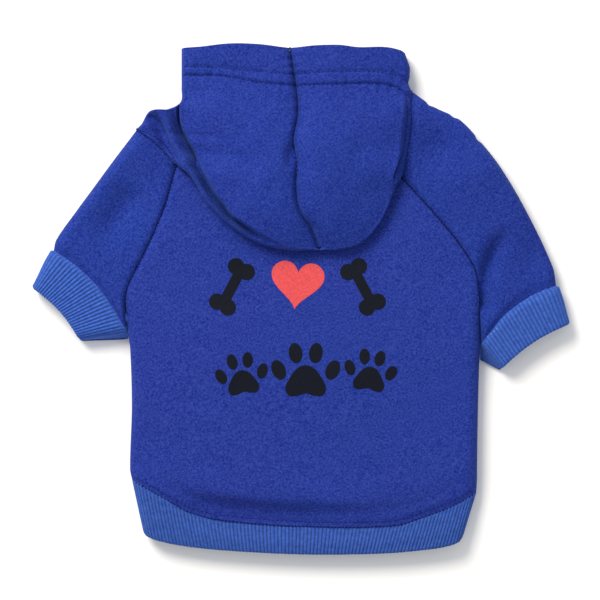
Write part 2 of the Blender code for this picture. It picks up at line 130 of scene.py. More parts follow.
# Hem seam across the back from left (0) to right (1), as a share of the hem drop
#            across  drop
HEM_ROWS = (
    (0.00, 0.00),
    (0.08, 0.36),
    (0.17, 0.76),
    (0.27, 0.92),
    (0.49, 1.00),
    (0.76, 0.89),
    (0.84, 0.67),
    (0.93, 0.36),
    (1.00, 0.00),
)


def ease(share):
    """Smooth step from 0 to 1."""
    share = np.clip(share, 0.0, 1.0)
    return share * share * (3 - 2 * share)


def ramp(value, start, end):
    """Smooth step of a value, 0 at the start and 1 at the end."""
    return ease((value - start) / (end - start))


def hill(distance, reach):
    """Soft hill, 1 in its middle and nearly level at twice its reach."""
    return np.exp(-((distance / reach) ** 2))


def glide(at, value, share):
    """Smooth curve through values at rising places, read at other places along it."""
    at, value = np.asarray(at, float), np.asarray(value)
    share = np.clip(np.asarray(share, float), at[0], at[-1])
    low = np.clip(np.searchsorted(at, share, "right") - 1, 0, len(at) - 2)
    before = np.maximum(np.arange(len(at)) - 1, 0)
    after = np.minimum(np.arange(len(at)) + 1, len(at) - 1)
    wide = (Ellipsis,) + (None,) * (value.ndim - 1)
    slope = (value[after] - value[before]) / (at[after] - at[before])[wide]
    span = at[low + 1] - at[low]
    t = ((share - at[low]) / span)[wide]
    span = span[wide]
    return (
        (2 * t**3 - 3 * t**2 + 1) * value[low]
        + (t**3 - 2 * t**2 + t) * span * slope[low]
        + (3 * t**2 - 2 * t**3) * value[low + 1]
        + (t**3 - t**2) * span * slope[low + 1]
    )


def read(rows, share, column):
    """Smooth value of a table's column at shares along its first column."""
    table = np.array(rows)
    return glide(table[:, 0], table[:, column], share)


# A place in plan is one complex number, x + y·1j, in metres
def spread(west, east, south, north):
    """Plan of a piece between its four edges: a function of the shares across and along."""

    def at(across, along):
        ruled = west(along) * (1 - across) + east(along) * across
        ends = south(across) * (1 - along) + north(across) * along
        bottom = south(0.0) * (1 - across) + south(1.0) * across
        top = north(0.0) * (1 - across) + north(1.0) * across
        return ruled + ends - bottom * (1 - along) - top * along

    return at


def body_edge(side, along):
    """A side of the body, from the hem corner (0) up its fold and the raglan seam to the neck (1)."""
    rise = np.asarray(along) * (SIDE_LENGTH + RAGLAN_RISE)
    fold = read(SIDE_ROWS, rise / SIDE_LENGTH, COLUMN[side])
    seam = read(RAGLAN_ROWS, (rise - SIDE_LENGTH) / RAGLAN_RISE, COLUMN[side])
    skew = LAY_SKEW if side == RIGHT else 0.0
    return side * BODY_HALF_WIDTH * np.where(rise < SIDE_LENGTH, fold, seam) + 1j * (rise - skew)


def raglan(side, share):
    """A raglan seam from the underarm (0) to the neck (1)."""
    return body_edge(side, (SIDE_LENGTH + np.asarray(share) * RAGLAN_RISE) / (SIDE_LENGTH + RAGLAN_RISE))


def bowed(start, end, share, rise):
    """Line between two places, pushed up the plan by a half wave."""
    return start + (end - start) * share + 1j * rise * np.sin(np.pi * share)


def hem_seam(across):
    """Hem seam on the back."""
    left, right = body_edge(LEFT, 0), body_edge(RIGHT, 0)
    return left + (right - left) * across - 1j * HEM_DROP * read(HEM_ROWS, across, 1)


def back_neck(across):
    """Neckline of the back, under the hood."""
    return bowed(raglan(LEFT, 1), raglan(RIGHT, 1), across, -BACK_NECK_DIP)


def seam_sink(share, shallow):
    """Depth of the raglan's valley: a whole fold at the underarm (0), fading to the shallow value."""
    deep = LAY_HEIGHT / 2 - SEAM_GAP / 2
    return deep + (shallow - deep) * ease(share / UNDERARM_FADE)


def end_dip(distance):
    """How far a layer sinks towards a seam across its end."""
    return SEAM_SINK * (1 - ease(distance / SEAM_EASE))


def layer(length, sinks, flats, depth):
    """Places and heights across an upper layer, this deep in the cloth, its edges rounded down by sinks."""
    radius = LAY_HEIGHT / 2
    length = np.atleast_1d(length)[:, None]
    steps = np.arange(ARC_STEPS) / ARC_STEPS
    sides, turns = [], []
    for sink in sinks:
        start = np.arcsin(np.clip(1 - np.atleast_1d(sink)[:, None] / radius, 0, 1))
        angle = start + (math.pi / 2 - start) * steps
        turn = radius * np.cos(start)
        bend = radius - depth
        place = turn - bend * np.cos(angle) + 0 * length
        high = LAY_HEIGHT - radius + bend * np.sin(angle) + 0 * length
        sides.append((place, high))
        turns.append(turn)
    middle = turns[0] + (length - turns[0] - turns[1]) * np.linspace(0, 1, flats + 1)
    place = np.concatenate([sides[0][0], middle, (length - sides[1][0])[:, ::-1]], axis=1)
    high = np.concatenate([sides[0][1], 0 * middle + LAY_HEIGHT - depth, sides[1][1][:, ::-1]], axis=1)
    return place, high


def billow(seed, wavelength, waves=28):
    """Soft random swell of cloth over a plan, about 1 at its peaks, with hills about a wavelength apart."""
    draw = np.random.default_rng(seed)
    lengths = 2 * math.pi / wavelength * draw.uniform(0.6, 1.3, waves)
    turns = np.exp(1j * draw.uniform(0, 2 * math.pi, waves))
    phases = draw.uniform(0, 2 * math.pi, waves)

    def at(place):
        total = np.zeros(np.shape(place))
        for length, turn, phase in zip(lengths, turns, phases):
            total += np.cos(length * (place * turn).real + phase)
        return total / math.sqrt(waves)

    return at


def beside(line, place):
    """How far places lie to the left of a line in plan (right is below zero), and their share along it."""
    line = np.asarray(line)
    runs = np.abs(np.diff(line))
    starts = np.concatenate([[0], np.cumsum(runs)])
    nearest = np.full(np.shape(place), np.inf)
    side, share = np.zeros(np.shape(place)), np.zeros(np.shape(place))
    for a, b, run, start in zip(line[:-1], line[1:], runs, starts):
        local = (place - a) * np.conj((b - a) / run)
        t = np.clip(local.real, 0, run)
        gap = np.abs(local - t)
        closer = gap < nearest
        nearest = np.where(closer, gap, nearest)
        side = np.where(closer, np.where(local.imag < 0, -gap, gap), side)
        share = np.where(closer, (start + t) / starts[-1], share)
    return side, share


def drawn(points, step=0.0015):
    """Smooth line through a few places given in millimetres."""
    points = np.array([complex(x, y) for x, y in points]) / 1000
    at = np.concatenate([[0], np.cumsum(np.abs(np.diff(points)))])
    return glide(at, points, np.linspace(0, at[-1], max(int(at[-1] / step), 2)))


def puckers(seed, line, depth, pitch, reach, place):
    """Small waves that a seam pulls into the cloth beside it."""
    side, share = beside(line, place)
    run = share * np.abs(np.diff(line)).sum()
    drift = billow(seed, 3 * pitch)(run + 0j)
    swing = 0.6 + 0.4 * billow(seed + 1, 5 * pitch)(run + 0j)
    return depth * swing * np.sin(2 * math.pi * run / pitch + 1.6 * drift) * hill(side, reach)


back_swell, fine_swell = billow(3, 0.070), billow(5, 0.022)
hem_line = hem_seam(np.linspace(0, 1, 60))
raglan_lines = {side: raglan(side, np.linspace(0, 1, 40)) for side in (LEFT, RIGHT)}


def hem_roll(across):
    """How far the cloth sinks towards the hem seam, most to the left of the back's middle."""
    rise, fall = (ramp(across, *limits) for limits in HEM_ROLL_ACROSS)
    return HEM_ROLL * (HEM_ROLL_LEAST + (1 - HEM_ROLL_LEAST) * rise * fall)


def back_relief(place):
    """Swell of the back, its roll down to the hem seam and the puckers along its seams."""
    hem_side, hem_share = beside(hem_line, place)
    rise = SWELL * back_swell(place) + FINE_SWELL * fine_swell(place)
    rise += HEM_SWELL * hem_roll(hem_share) * hill(hem_side - HEM_SWELL_UP, HEM_SWELL_REACH)
    rise -= hem_roll(hem_share) * ramp(hem_side, *HEM_ROLL_UP)
    rise -= SIDE_DENT * hill(np.abs(place - SIDE_DENT_PLACE), SIDE_DENT_REACH)
    rise += puckers(11, hem_line, *HEM_PUCKERS, place)
    for side in (LEFT, RIGHT):
        rise += puckers(13 + side, raglan_lines[side], *RAGLAN_PUCKERS, place)
    return rise


def above_middle(high):
    """A height in the laid cloth, from -1 on the floor to 1 on top."""
    return high / LAY_HEIGHT * 2 - 1


def heights(place, high, relief=None):
    """Plan places and heights as points, with a layer's relief, if any, where it faces up."""
    if relief:
        high = high + relief(place) * ease(above_middle(high))
    laid = place - LAID_MIDDLE
    return np.stack([laid.real, laid.imag, high], axis=-1)


def put(name, data):
    """Object of some data in the scene."""
    made = bpy.data.objects.new(name, data)
    bpy.context.scene.collection.objects.link(made)
    return made


def smooth_piece(name, mesh, material):
    """Piece of a smooth mesh in one material, sharp at its steep edges."""
    mesh.shade_smooth()
    mesh.set_sharp_from_angle(angle=SHARP_EDGE)
    mesh.materials.append(material)
    return put(name, mesh)


def cloth_wall(name, outer, inner, cloth, grain=None, ring=False):
    """Closed wall of cloth between two grids of points, with its grain's places kept on it."""
    rows, columns = outer.shape[:2]
    number = np.arange(rows * columns).reshape(rows, columns)
    if ring:
        number = np.concatenate([number, number[:, :1]], axis=1)
    low, high, second = number[:-1], number[1:], rows * columns

    def quads(a, b, c, d):
        return np.stack([a.ravel(), b.ravel(), c.ravel(), d.ravel()], axis=1)

    faces = [
        quads(low[:, :-1], low[:, 1:], high[:, 1:], high[:, :-1]),
        quads(high[:, :-1], high[:, 1:], low[:, 1:], low[:, :-1]) + second,
        quads(number[0, :-1], number[0, :-1] + second, number[0, 1:] + second, number[0, 1:]),
        quads(number[-1, :-1], number[-1, 1:], number[-1, 1:] + second, number[-1, :-1] + second),
    ]
    if not ring:
        faces.append(quads(low[:, 0], high[:, 0], high[:, 0] + second, low[:, 0] + second))
        faces.append(quads(low[:, -1], low[:, -1] + second, high[:, -1] + second, high[:, -1]))
    faces = np.concatenate(faces)
    points = np.concatenate([outer.reshape(-1, 3), inner.reshape(-1, 3)])
    a, b, c, d = (points[faces[:, i]] for i in range(4))
    if (a * np.cross(b, c)).sum() + (a * np.cross(c, d)).sum() < 0:
        faces = faces[:, ::-1]
    mesh = bpy.data.meshes.new(name)
    mesh.from_pydata(points, [], faces.tolist())
    for label, values in (grain or {}).items():
        held = mesh.attributes.new(label, "FLOAT", "POINT")
        held.data.foreach_set("value", np.concatenate([v.ravel() for v in values]).astype(np.float32))
    merged = bmesh.new()
    merged.from_mesh(mesh)
    bmesh.ops.remove_doubles(merged, verts=merged.verts, dist=2e-6)
    merged.to_mesh(mesh)
    merged.free()
    return smooth_piece(name, mesh, cloth)


def node_group(name, kind, inputs, outputs):
    """Empty node group with named inputs, each with its usual value if it has one, and named outputs."""
    tree = bpy.data.node_groups.new(name, kind)
    for way, sockets in (("INPUT", inputs), ("OUTPUT", outputs)):
        for label, holds, *usual in sockets:
            made = tree.interface.new_socket(label, in_out=way, socket_type="NodeSocket" + holds)
            if usual:
                made.default_value = usual[0]
    return tree, tree.nodes.new("NodeGroupInput").outputs, tree.nodes.new("NodeGroupOutput").inputs


def add(tree, kind, *values, settings=(), **named):
    """Node of a kind, with its settings and its inputs by order or name, each a value or a node's output."""
    node = tree.nodes.new(kind)
    for label, value in dict(settings).items():
        setattr(node, label, value)
    given = dict(enumerate(values))
    given.update((label.replace("_", " "), value) for label, value in named.items())
    for key, value in given.items():
        if isinstance(value, bpy.types.NodeSocket):
            tree.links.new(value, node.inputs[key])
        else:
            node.inputs[key].default_value = value
    return node


def step(tree, kind, *values, **named):
    """First output of an added node."""
    return add(tree, kind, *values, **named).outputs[0]


def maths(tree, operation, *values):
    """Result of a sum on numbers."""
    return step(tree, "ShaderNodeMath", *values, settings={"operation": operation})


def vectors(tree, operation, *values, **named):
    """Result of a sum on colours or directions."""
    return step(tree, "ShaderNodeVectorMath", *values, settings={"operation": operation}, **named)


def noise(tree, where, scale, detail, roughness):
    """Uneven pattern over places."""
    return step(tree, "ShaderNodeTexNoise", Vector=where, Scale=scale, Detail=detail, Roughness=roughness)


def flecked(tree, colour, tint, strength):
    """Colour with flecks that swing it along a tint."""
    swing = vectors(tree, "ADD", vectors(tree, "SCALE", tint, Scale=strength), (1.0, 1.0, 1.0))
    return vectors(tree, "MULTIPLY", colour, swing)


# A cloth's shading, as a node group gives it, and the shader's own inputs that take it
SURFACE = (("Colour", "Color"), ("Roughness", "Float"), ("Normal", "Vector"))
SHADER_INPUTS = {"Colour": "Base Color", "Roughness": "Roughness", "Normal": "Normal"}


def give(tree, out, *values):
    """Ends a node group: its values on its outputs, in order."""
    for taker, value in zip(out, values):
        tree.links.new(value, taker)


def brushed_pile():
    """Brushed fleece: heathered flecks, a soft mottle, and the nap's fuzz as a normal."""
    inputs = (
        ("Colour", "Color", (0.03, 0.05, 0.3, 1)),
        ("Fleck size", "Float", 0.0011),
        ("Fleck contrast", "Float", 4.0),
        ("Nap height", "Float", 0.0008),
    )
    tree, given, out = node_group("brushed_pile", "ShaderNodeTree", inputs, SURFACE)
    where = tree.nodes.new("ShaderNodeTexCoord").outputs["Object"]
    fleck = noise(tree, where, maths(tree, "DIVIDE", 1.0, given["Fleck size"]), 3.0, 0.7)
    mottle = maths(tree, "MULTIPLY", noise(tree, where, 260.0, 3.0, 0.6), 0.12)
    tone = maths(tree, "SUBTRACT", maths(tree, "ADD", fleck, mottle), 0.56)
    strength = maths(tree, "MULTIPLY", tone, given["Fleck contrast"])
    toned = flecked(tree, given["Colour"], (1.35, 0.92, 0.36), strength)
    cooler = vectors(tree, "MULTIPLY", toned, (0.93, 1.06, 1.02))
    drift = noise(tree, where, 16.0, 2.0, 0.5)
    cool = step(tree, "ShaderNodeMapRange", Value=drift, From_Min=0.35, From_Max=0.65)
    mixed = add(tree, "ShaderNodeMix", cool, settings={"data_type": "RGBA"})
    tree.links.new(toned, mixed.inputs[6])
    tree.links.new(cooler, mixed.inputs[7])
    rough = step(tree, "ShaderNodeMapRange", Value=fleck, To_Min=0.85, To_Max=1.0)
    nap = maths(tree, "ADD", noise(tree, where, 1500.0, 4.0, 0.75), noise(tree, where, 480.0, 2.0, 0.5))
    raised = step(tree, "ShaderNodeBump", Height=nap, Distance=given["Nap height"], Strength=0.55)
    give(tree, out, mixed.outputs[2], rough, raised)
    return tree


pile = brushed_pile()


def plain_material(name, **constants):
    """Material with constants on its shader's own sockets, and that shader."""
    made = bpy.data.materials.new(name)
    made.use_nodes = True
    shader = made.node_tree.nodes["Principled BSDF"]
    for label, value in constants.items():
        shader.inputs[label.replace("_", " ")].default_value = value
    return made, shader


def cloth_material(name, group, constants, **values):
    """Material that a node group shades, apart from the shader's own constants."""
    made, shader = plain_material(name, **constants)
    surface = add(made.node_tree, "ShaderNodeGroup", settings={"node_tree": group}, **values)
    for given, taken in SHADER_INPUTS.items():
        if taken not in constants:
            made.node_tree.links.new(surface.outputs[given], shader.inputs[taken])
    return made


def fleece(name, colour):
    """Matt brushed fleece in one dye."""
    return cloth_material(name, pile, FLEECE_SHINE, Colour=(*colour, 1))


body_fleece = fleece("body_fleece", FLEECE_BLUE)


def body_panel(name, seam, neck, relief, shallow, rows, flats):
    """One layer of the body, from its hem seam to its neckline. The upper layer is the one with a relief."""
    plan = spread(lambda t: body_edge(LEFT, t), lambda t: body_edge(RIGHT, t), seam, neck)
    whole = SIDE_LENGTH + RAGLAN_RISE
    rise = np.linspace(SEAM_GAP, whole - SEAM_GAP, rows)
    along = (rise / whole)[:, None]
    length = np.abs(plan(1.0, along) - plan(0.0, along))
    sink = seam_sink((rise - SIDE_LENGTH) / RAGLAN_RISE, shallow)
    dip = end_dip(np.minimum(rise, whole - rise))[:, None]
    faces = []
    for depth in (0.0, CLOTH):
        place, high = layer(length[:, 0] - SEAM_GAP, (sink, sink), flats, depth)
        across = (place + SEAM_GAP / 2) / length
        if relief:
            crown = BODY_CROWN * np.sin(math.pi * across) * np.sin(math.pi * along)
            high = high + crown - dip * above_middle(high)
        else:
            high = LAY_HEIGHT - high
        faces.append(heights(plan(across, along), high, relief))
    return cloth_wall(name, *faces, body_fleece)


back = body_panel("back_cloth", hem_seam, back_neck, back_relief, SEAM_SINK, BODY_ROWS, BODY_FLATS)
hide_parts("back_panel")
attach(back, "root")

# Belly panel
# The under layer of the body in the same fleece, cut higher at the hem so the dog stays clean, with a shallower
# neckline. It lies flat on the surface, and is joined to the back at both side folds.
BELLY_HEM_RISE = 0.0200
FRONT_NECK_RISE = 0.0084
UNDER_SINK = 0.0003
BELLY_ROWS = 60
BELLY_FLATS = 50


def arch(across):
    """Arch from 0 at its ends to 1 in its middle, steepest at its ends."""
    return np.sqrt(np.abs(np.sin(math.pi * np.clip(across, 0, 1))))


def belly_seam(across):
    """Hem seam on the belly."""
    left, right = body_edge(LEFT, 0), body_edge(RIGHT, 0)
    return left + (right - left) * across + 1j * BELLY_HEM_RISE * arch(across)


def front_neck(across):
    """Neckline of the belly side."""
    return bowed(raglan(LEFT, 1), raglan(RIGHT, 1), across, FRONT_NECK_RISE)


belly = body_panel("belly_cloth", belly_seam, front_neck, None, UNDER_SINK, BELLY_ROWS, BELLY_FLATS)
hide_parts("belly_panel")
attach(belly, "root")

# Hem band
# A strip of 1x1 rib knit, folded double lengthwise and sewn to the body with its fold as the free edge. It is
# stretched a little in the sewing, so it draws the hem in.
BAND_CORNER_DEPTHS = {LEFT: 0.0313, RIGHT: 0.0268}
BAND_CORNER_INSETS = {LEFT: 0.0068, RIGHT: 0.0082}
BAND_DROP = 0.0098
BAND_BELLY_RISE = 0.0345
RIB_KNIT = 0.0026
RIB_PITCH = 0.0021
RIB_DEPTH = 0.0007
RIB_START = 0.0025
COURSE_PITCH = 0.0011
BAND_ROW_COUNT = 16
BAND_RIB_STEPS = 8
BAND_DIP_REACH = 0.011
DIP_START = 0.0008
RIM_STEPS = 4
RIM_SMOOTH = 0.8
FIRST_ROW = 0.0028
RIB_BLUE = (0.0345, 0.0975, 0.425)
# Share of the cuffs' knit colour that the hem band keeps: painted shade, darker than the cuffs
HEM_PAINTED_SHADE = 0.82
KNIT_SHINE = {
    "Sheen_Weight": 0.15, "Sheen_Roughness": 0.5, "Sheen_Tint": (0.5, 0.7, 1.0, 1), "Specular_IOR_Level": 0.15,
}

# Rows of the knit at its seam, from the end of the allowance inside the fleece (below 0)
SEAM_ROWS = (-0.0050, -0.0030, -0.0010, -0.0002, 0.0004, 0.0010, 0.0018)

# Runs from the seam over which the allowance thickens to the whole knit, and a cuff's tuck ends and its flare
# begins; then how closely its flare, tuck and slip keep to its sides
ALLOWANCE_STEP = (-0.0022, 0.0002)
TUCK_STEP = (-0.0022, -0.0006)
FLARE_STEP = (0.0002, 0.0014)
FLARE_FADE = 0.8
FLARE_POWER = 8
TUCK_POWER = 6
SLIP_POWER = 12

# Lower edge of the band from left (0) to right (1), as a share of the band drop
#             across  drop
BAND_ROWS = (
    (0.00, 0.00),
    (0.04, 0.29),
    (0.12, 0.59),
    (0.25, 0.82),
    (0.50, 1.00),
    (0.75, 0.88),
    (0.90, 0.60),
    (0.95, 0.42),
    (0.985, 0.20),
    (1.00, 0.00),
)


def band_edge(rise):
    """Free edge of the hem band: on the back it drops, on the belly it rises by this much."""

    def at(across):
        left = body_edge(LEFT, 0) + BAND_CORNER_INSETS[LEFT] - 1j * BAND_CORNER_DEPTHS[LEFT]
        right = body_edge(RIGHT, 0) - BAND_CORNER_INSETS[RIGHT] - 1j * BAND_CORNER_DEPTHS[RIGHT]
        lift = rise * arch(across) if rise else -BAND_DROP * read(BAND_ROWS, across, 1)
        return left + (right - left) * across + 1j * lift

    return at


def tube_half(length, shares, depth):
    """Places and heights round the upper half of a flattened tube, at even shares of its way round."""
    radius = LAY_HEIGHT / 2
    quarter = math.pi / 2 * radius
    straight = length - 2 * radius
    run = shares * (straight + 2 * quarter)
    back_run = straight + 2 * quarter - run
    bend = radius - depth
    near, far = np.minimum(run, quarter) / radius, np.minimum(back_run, quarter) / radius
    place = radius + np.clip(run - quarter, 0, straight)
    place = np.where(run < quarter, radius - bend * np.cos(near), place)
    place = np.where(back_run < quarter, length - radius + bend * np.cos(far), place)
    high = radius + bend * np.minimum(np.sin(near), np.sin(far))
    return place, high


def wale_crest(tree, wale):
    """1 along the middle of each wale and 0 between two wales."""
    return maths(tree, "ABSOLUTE", maths(tree, "COSINE", maths(tree, "MULTIPLY", wale, math.pi)))


def dyed(tree, out, geometry, material):
    """Ends a geometry tree: real mesh in one material."""
    real = step(tree, "GeometryNodeRealizeInstances", Geometry=geometry)
    give(tree, out, step(tree, "GeometryNodeSetMaterial", Geometry=real, Material=material))


def rib_tree():
    """Raises the wales of rib knit along the cloth's own normals."""
    inputs = (
        ("Geometry", "Geometry"),
        ("Rib depth", "Float", RIB_DEPTH),
        ("Rib sharpness", "Float", 0.7),
        ("Knit", "Material"),
    )
    tree, given, out = node_group("rib_wales", "GeometryNodeTree", inputs, (("Geometry", "Geometry"),))
    wale, face = (
        step(tree, "GeometryNodeInputNamedAttribute", Name=label, settings={"data_type": "FLOAT"})
        for label in ("wale", "face")
    )
    crest = maths(tree, "POWER", wale_crest(tree, wale), given["Rib sharpness"])
    deep = maths(tree, "MULTIPLY", maths(tree, "SUBTRACT", crest, 1.0), given["Rib depth"])
    normal = tree.nodes.new("GeometryNodeInputNormal").outputs[0]
    push = vectors(tree, "SCALE", normal, Scale=maths(tree, "MULTIPLY", deep, face))
    moved = step(tree, "GeometryNodeSetPosition", Geometry=given["Geometry"], Offset=push)
    dyed(tree, out, moved, given["Knit"])
    return tree


def grown(piece, tree, **values):
    """The plain mesh that a tree makes of a piece, with the tree's inputs set by their identifiers."""
    modifier = piece.modifiers.new("grown", "NODES")
    modifier.node_group = tree
    names = {item.name: item.identifier for item in tree.interface.items_tree if item.in_out == "INPUT"}
    for label, value in values.items():
        modifier[names[label.replace("_", " ")]] = value
    bpy.context.view_layer.update()
    mesh = bpy.data.meshes.new_from_object(piece.evaluated_get(bpy.context.evaluated_depsgraph_get()))
    mesh.name = piece.name
    piece.modifiers.remove(modifier)
    piece.data = mesh
    return piece


def knit_yarn():
    """Rib knit yarn: rows of V stitches up each wale, darker between the wales as painted shade, with a little
    fuzz.
    """
    inputs = (
        ("Colour", "Color", (0.04, 0.1, 0.4, 1)),
        ("Valley shade", "Float", 0.45),
        ("Stitch height", "Float", 0.0003),
    )
    tree, given, out = node_group("rib_yarn", "ShaderNodeTree", inputs, SURFACE)
    wale, course = (
        add(tree, "ShaderNodeAttribute", settings={"attribute_name": label}).outputs["Fac"]
        for label in ("wale", "course")
    )
    where = tree.nodes.new("ShaderNodeTexCoord").outputs["Object"]
    crest = wale_crest(tree, wale)
    loop = maths(tree, "MULTIPLY", maths(tree, "SUBTRACT", course, crest), 2 * math.pi)
    fuzz = noise(tree, where, 1600.0, 3.0, 0.7)
    lift = maths(tree, "MULTIPLY_ADD", maths(tree, "SINE", loop), 0.35, fuzz)
    raised = step(tree, "ShaderNodeBump", Height=lift, Distance=given["Stitch height"], Strength=0.6)
    # Painted shade: the colour darkens between the wales, by the valley shade
    keep = maths(tree, "SUBTRACT", 1.0, given["Valley shade"])
    shade = step(tree, "ShaderNodeMapRange", Value=crest, From_Min=0.0, From_Max=0.75, To_Min=keep, To_Max=1.0)
    mottle = noise(tree, where, 420.0, 4.0, 0.7)
    loops = step(tree, "ShaderNodeCombineXYZ", X=wale, Y=course)
    cloudy = maths(tree, "ADD", mottle, noise(tree, loops, 0.75, 2.0, 0.8))
    fleck = step(
        tree, "ShaderNodeMapRange", Value=cloudy, From_Min=0.5, From_Max=1.5, To_Min=-1.0, To_Max=1.0
    )
    shaded = vectors(tree, "SCALE", given["Colour"], Scale=shade)
    rough = step(tree, "ShaderNodeMapRange", Value=mottle, To_Min=0.8, To_Max=0.95)
    give(tree, out, flecked(tree, shaded, (0.80, 0.55, 0.34), fleck), rough, raised)
    return tree


rib_wales, rib_yarn = rib_tree(), knit_yarn()


def rib_knit(name, colour):
    """Rib knit in one dye."""
    return cloth_material(name, rib_yarn, KNIT_SHINE, Colour=(*colour, 1))


cuff_knit = rib_knit("cuff_knit_blue", RIB_BLUE)
# The hem band's knit is the cuffs' knit darkened, as painted shade
hem_shaded_knit = rib_knit("hem_shaded_knit_blue", [HEM_PAINTED_SHADE * part for part in RIB_BLUE])


def knit_ring(name, knit, upper, lower, rows, rib_steps, seam_dip, dip_reach, flare=0.0, tuck_in=0.0, slip=0.0):
    """Flattened ring of rib knit: two layers, each from its seam to the free edge, which is a round fold.

    A cuff also flares at its outer side, has its allowance tucked in at its inner side, and its lower layer
    slips down there.
    """
    start, end = upper[0](0.0), upper[0](1.0)
    heading = (end - start) / abs(end - start)
    ribs = round(float(abs(end - start)) / RIB_PITCH)
    depth = float(np.abs(upper[1](0.5) - upper[0](0.5)))
    half = RIB_KNIT / 2
    turn = np.linspace(0, math.pi / 2, RIM_STEPS + 1)[1:]
    straight = np.concatenate([SEAM_ROWS, np.linspace(FIRST_ROW, depth - half, rows)])
    run = np.concatenate([straight, depth - half + half * np.sin(turn)])[:, None]
    turn = np.concatenate([0 * straight, turn])[:, None]
    rim = half * (1 - np.cos(turn))
    tucked = 1 - ramp(run, *ALLOWANCE_STEP)
    stand = heading * flare * ramp(run, *FLARE_STEP) * ease((depth - run) / (FLARE_FADE * depth))
    pull = heading * tuck_in * (1 - ramp(run, *TUCK_STEP))
    even = np.arange(ribs * rib_steps) / (ribs * rib_steps)

    def spots(layer_edges, across):
        seam, edge = layer_edges
        return seam(across) + (edge(across) - seam(across)) * run / depth

    grids = []
    for wall in (0, 1):
        thick = RIB_KNIT * (1 - tucked / 2)
        deep = tucked * (CLOTH + SEAM_GAP) + (thick - rim if wall else rim)
        parts = []
        for edges, shares in ((upper, even), (lower, 1 - even)):
            length = np.abs(spots(edges, 1.0) - spots(edges, 0.0))
            place, high = tube_half(length, shares, deep)
            across = place / length
            if edges is upper:
                dip = seam_dip(across) * (1 - ease((run + DIP_START) / dip_reach))
                high = high - dip * above_middle(high)
            else:
                high = (LAY_HEIGHT - high) * (1 - slip * (1 - tucked) * (1 - shares) ** SLIP_POWER)
            spot = spots(edges, across) + stand * across**FLARE_POWER + pull * (1 - across) ** TUCK_POWER
            parts.append(heights(spot, high))
        grids.append(np.concatenate(parts, axis=1))
    wale = np.concatenate([even, 1 - even]) * ribs + 0 * run
    face = ease(run / RIB_START) * np.cos(RIM_SMOOTH * turn) + 0 * wale
    course = run / COURSE_PITCH + 0 * wale
    grain = {"wale": (wale, wale), "face": (face, -face), "course": (course, course)}
    ring = cloth_wall(name, *grids, knit, grain, ring=True)
    return grown(ring, rib_wales, Rib_depth=RIB_DEPTH, Knit=knit)


band = knit_ring(
    "hem_rib", hem_shaded_knit, (hem_seam, band_edge(0.0)), (belly_seam, band_edge(BAND_BELLY_RISE)),
    BAND_ROW_COUNT, BAND_RIB_STEPS, lambda across: SEAM_SINK + hem_roll(across), BAND_DIP_REACH,
)
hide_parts("hem_band")
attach(band, "root")

# Sleeves
# Raglan sleeves of the same fleece, each one piece that wraps round its outer fold from the upper raglan seam to
# the lower one. They lie out to both sides, with the soft hollows that the cloth falls into.
SLEEVE_BULGE = 0.0139
NECK_SEAM_BOW = 0.0015
CUFF_LENGTH = 0.0255
CUFF_BOW = 0.0050
CUFF_OPENING_BOW = 0.0027
SLEEVE_ROW_COUNT = 90
SLEEVE_FLATS = 64
NOTCH_DEPTH = 0.0009
NOTCH_REACH = 0.012
CUFF_PUCKERS = (0.00025, 0.0065, 0.005)

# Sleeve's outer fold from the neck (0) to the cuff (1), as shares of the sleeve bulge
#              along  left  right
SLEEVE_ROWS = (
    (0.00, 0.00, 0.00),
    (0.11, 0.03, 0.38),
    (0.21, 0.06, 0.90),
    (0.35, 0.09, 1.06),
    (0.48, 0.11, 1.08),
    (0.69, 0.15, 0.84),
    (0.93, 0.16, 0.35),
    (1.00, 0.00, 0.00),
)

# Each sleeve: the cuff seam's length and lift above the horizontal, the neck seam's outer end from the
# raglan's top, and the cuff's two opening corners from its seam's ends, as shares of the cuff length
#                 length  angle   neck end out and up      outer corner     lower corner
SLEEVES = {
    LEFT: (0.0642, 48.2, (0.0232, 0.0203), (0.50, -0.83), (1.08, -0.16)),
    RIGHT: (0.0556, 38.1, (0.0064, 0.0496), (0.32, -0.85), (0.45, -0.55)),
}


def neck_end(side):
    """Outer end of the neck seam, where it meets the sleeve's outer fold."""
    out, up = SLEEVES[side][2]
    return raglan(side, 1) + side * out + 1j * up


def neck_seam(side, share):
    """Neck seam on a sleeve, from its outer end (0) to the raglan's top (1)."""
    start, end = neck_end(side), raglan(side, 1)
    run = (end - start) / abs(end - start)
    return start + (end - start) * share + 1j * run * NECK_SEAM_BOW * np.sin(math.pi * share)


def cuff_corner(side):
    """Outer end of the cuff seam."""
    length, angle = SLEEVES[side][:2]
    run = side * math.cos(math.radians(angle)) + 1j * math.sin(math.radians(angle))
    return raglan(side, 0) + run * length


def cuff_line(side, lower, outer, bow, share):
    """Line across a cuff from its lower fold (0) to its outer fold (1), bowed towards the sleeve."""
    run = (outer - lower) / abs(outer - lower)
    return lower + (outer - lower) * share + 1j * run * side * bow * np.sin(math.pi * share)


def cuff_seam(side, share):
    """Seam between a sleeve and its cuff."""
    return cuff_line(side, raglan(side, 0), cuff_corner(side), CUFF_BOW, share)


def cuff_opening(side, share):
    """Open edge of a cuff."""
    outer_step, lower_step = SLEEVES[side][3:]
    lower = raglan(side, 0) + complex(side * lower_step[0], lower_step[1]) * CUFF_LENGTH
    outer = cuff_corner(side) + complex(side * outer_step[0], outer_step[1]) * CUFF_LENGTH
    return cuff_line(side, lower, outer, CUFF_OPENING_BOW, share)


# Small notches that the shoulder seam pulls into the outer fold, as shares of its way from neck to cuff
SHOULDER_NOTCHES = {LEFT: (), RIGHT: (0.088, 0.188, 0.321)}


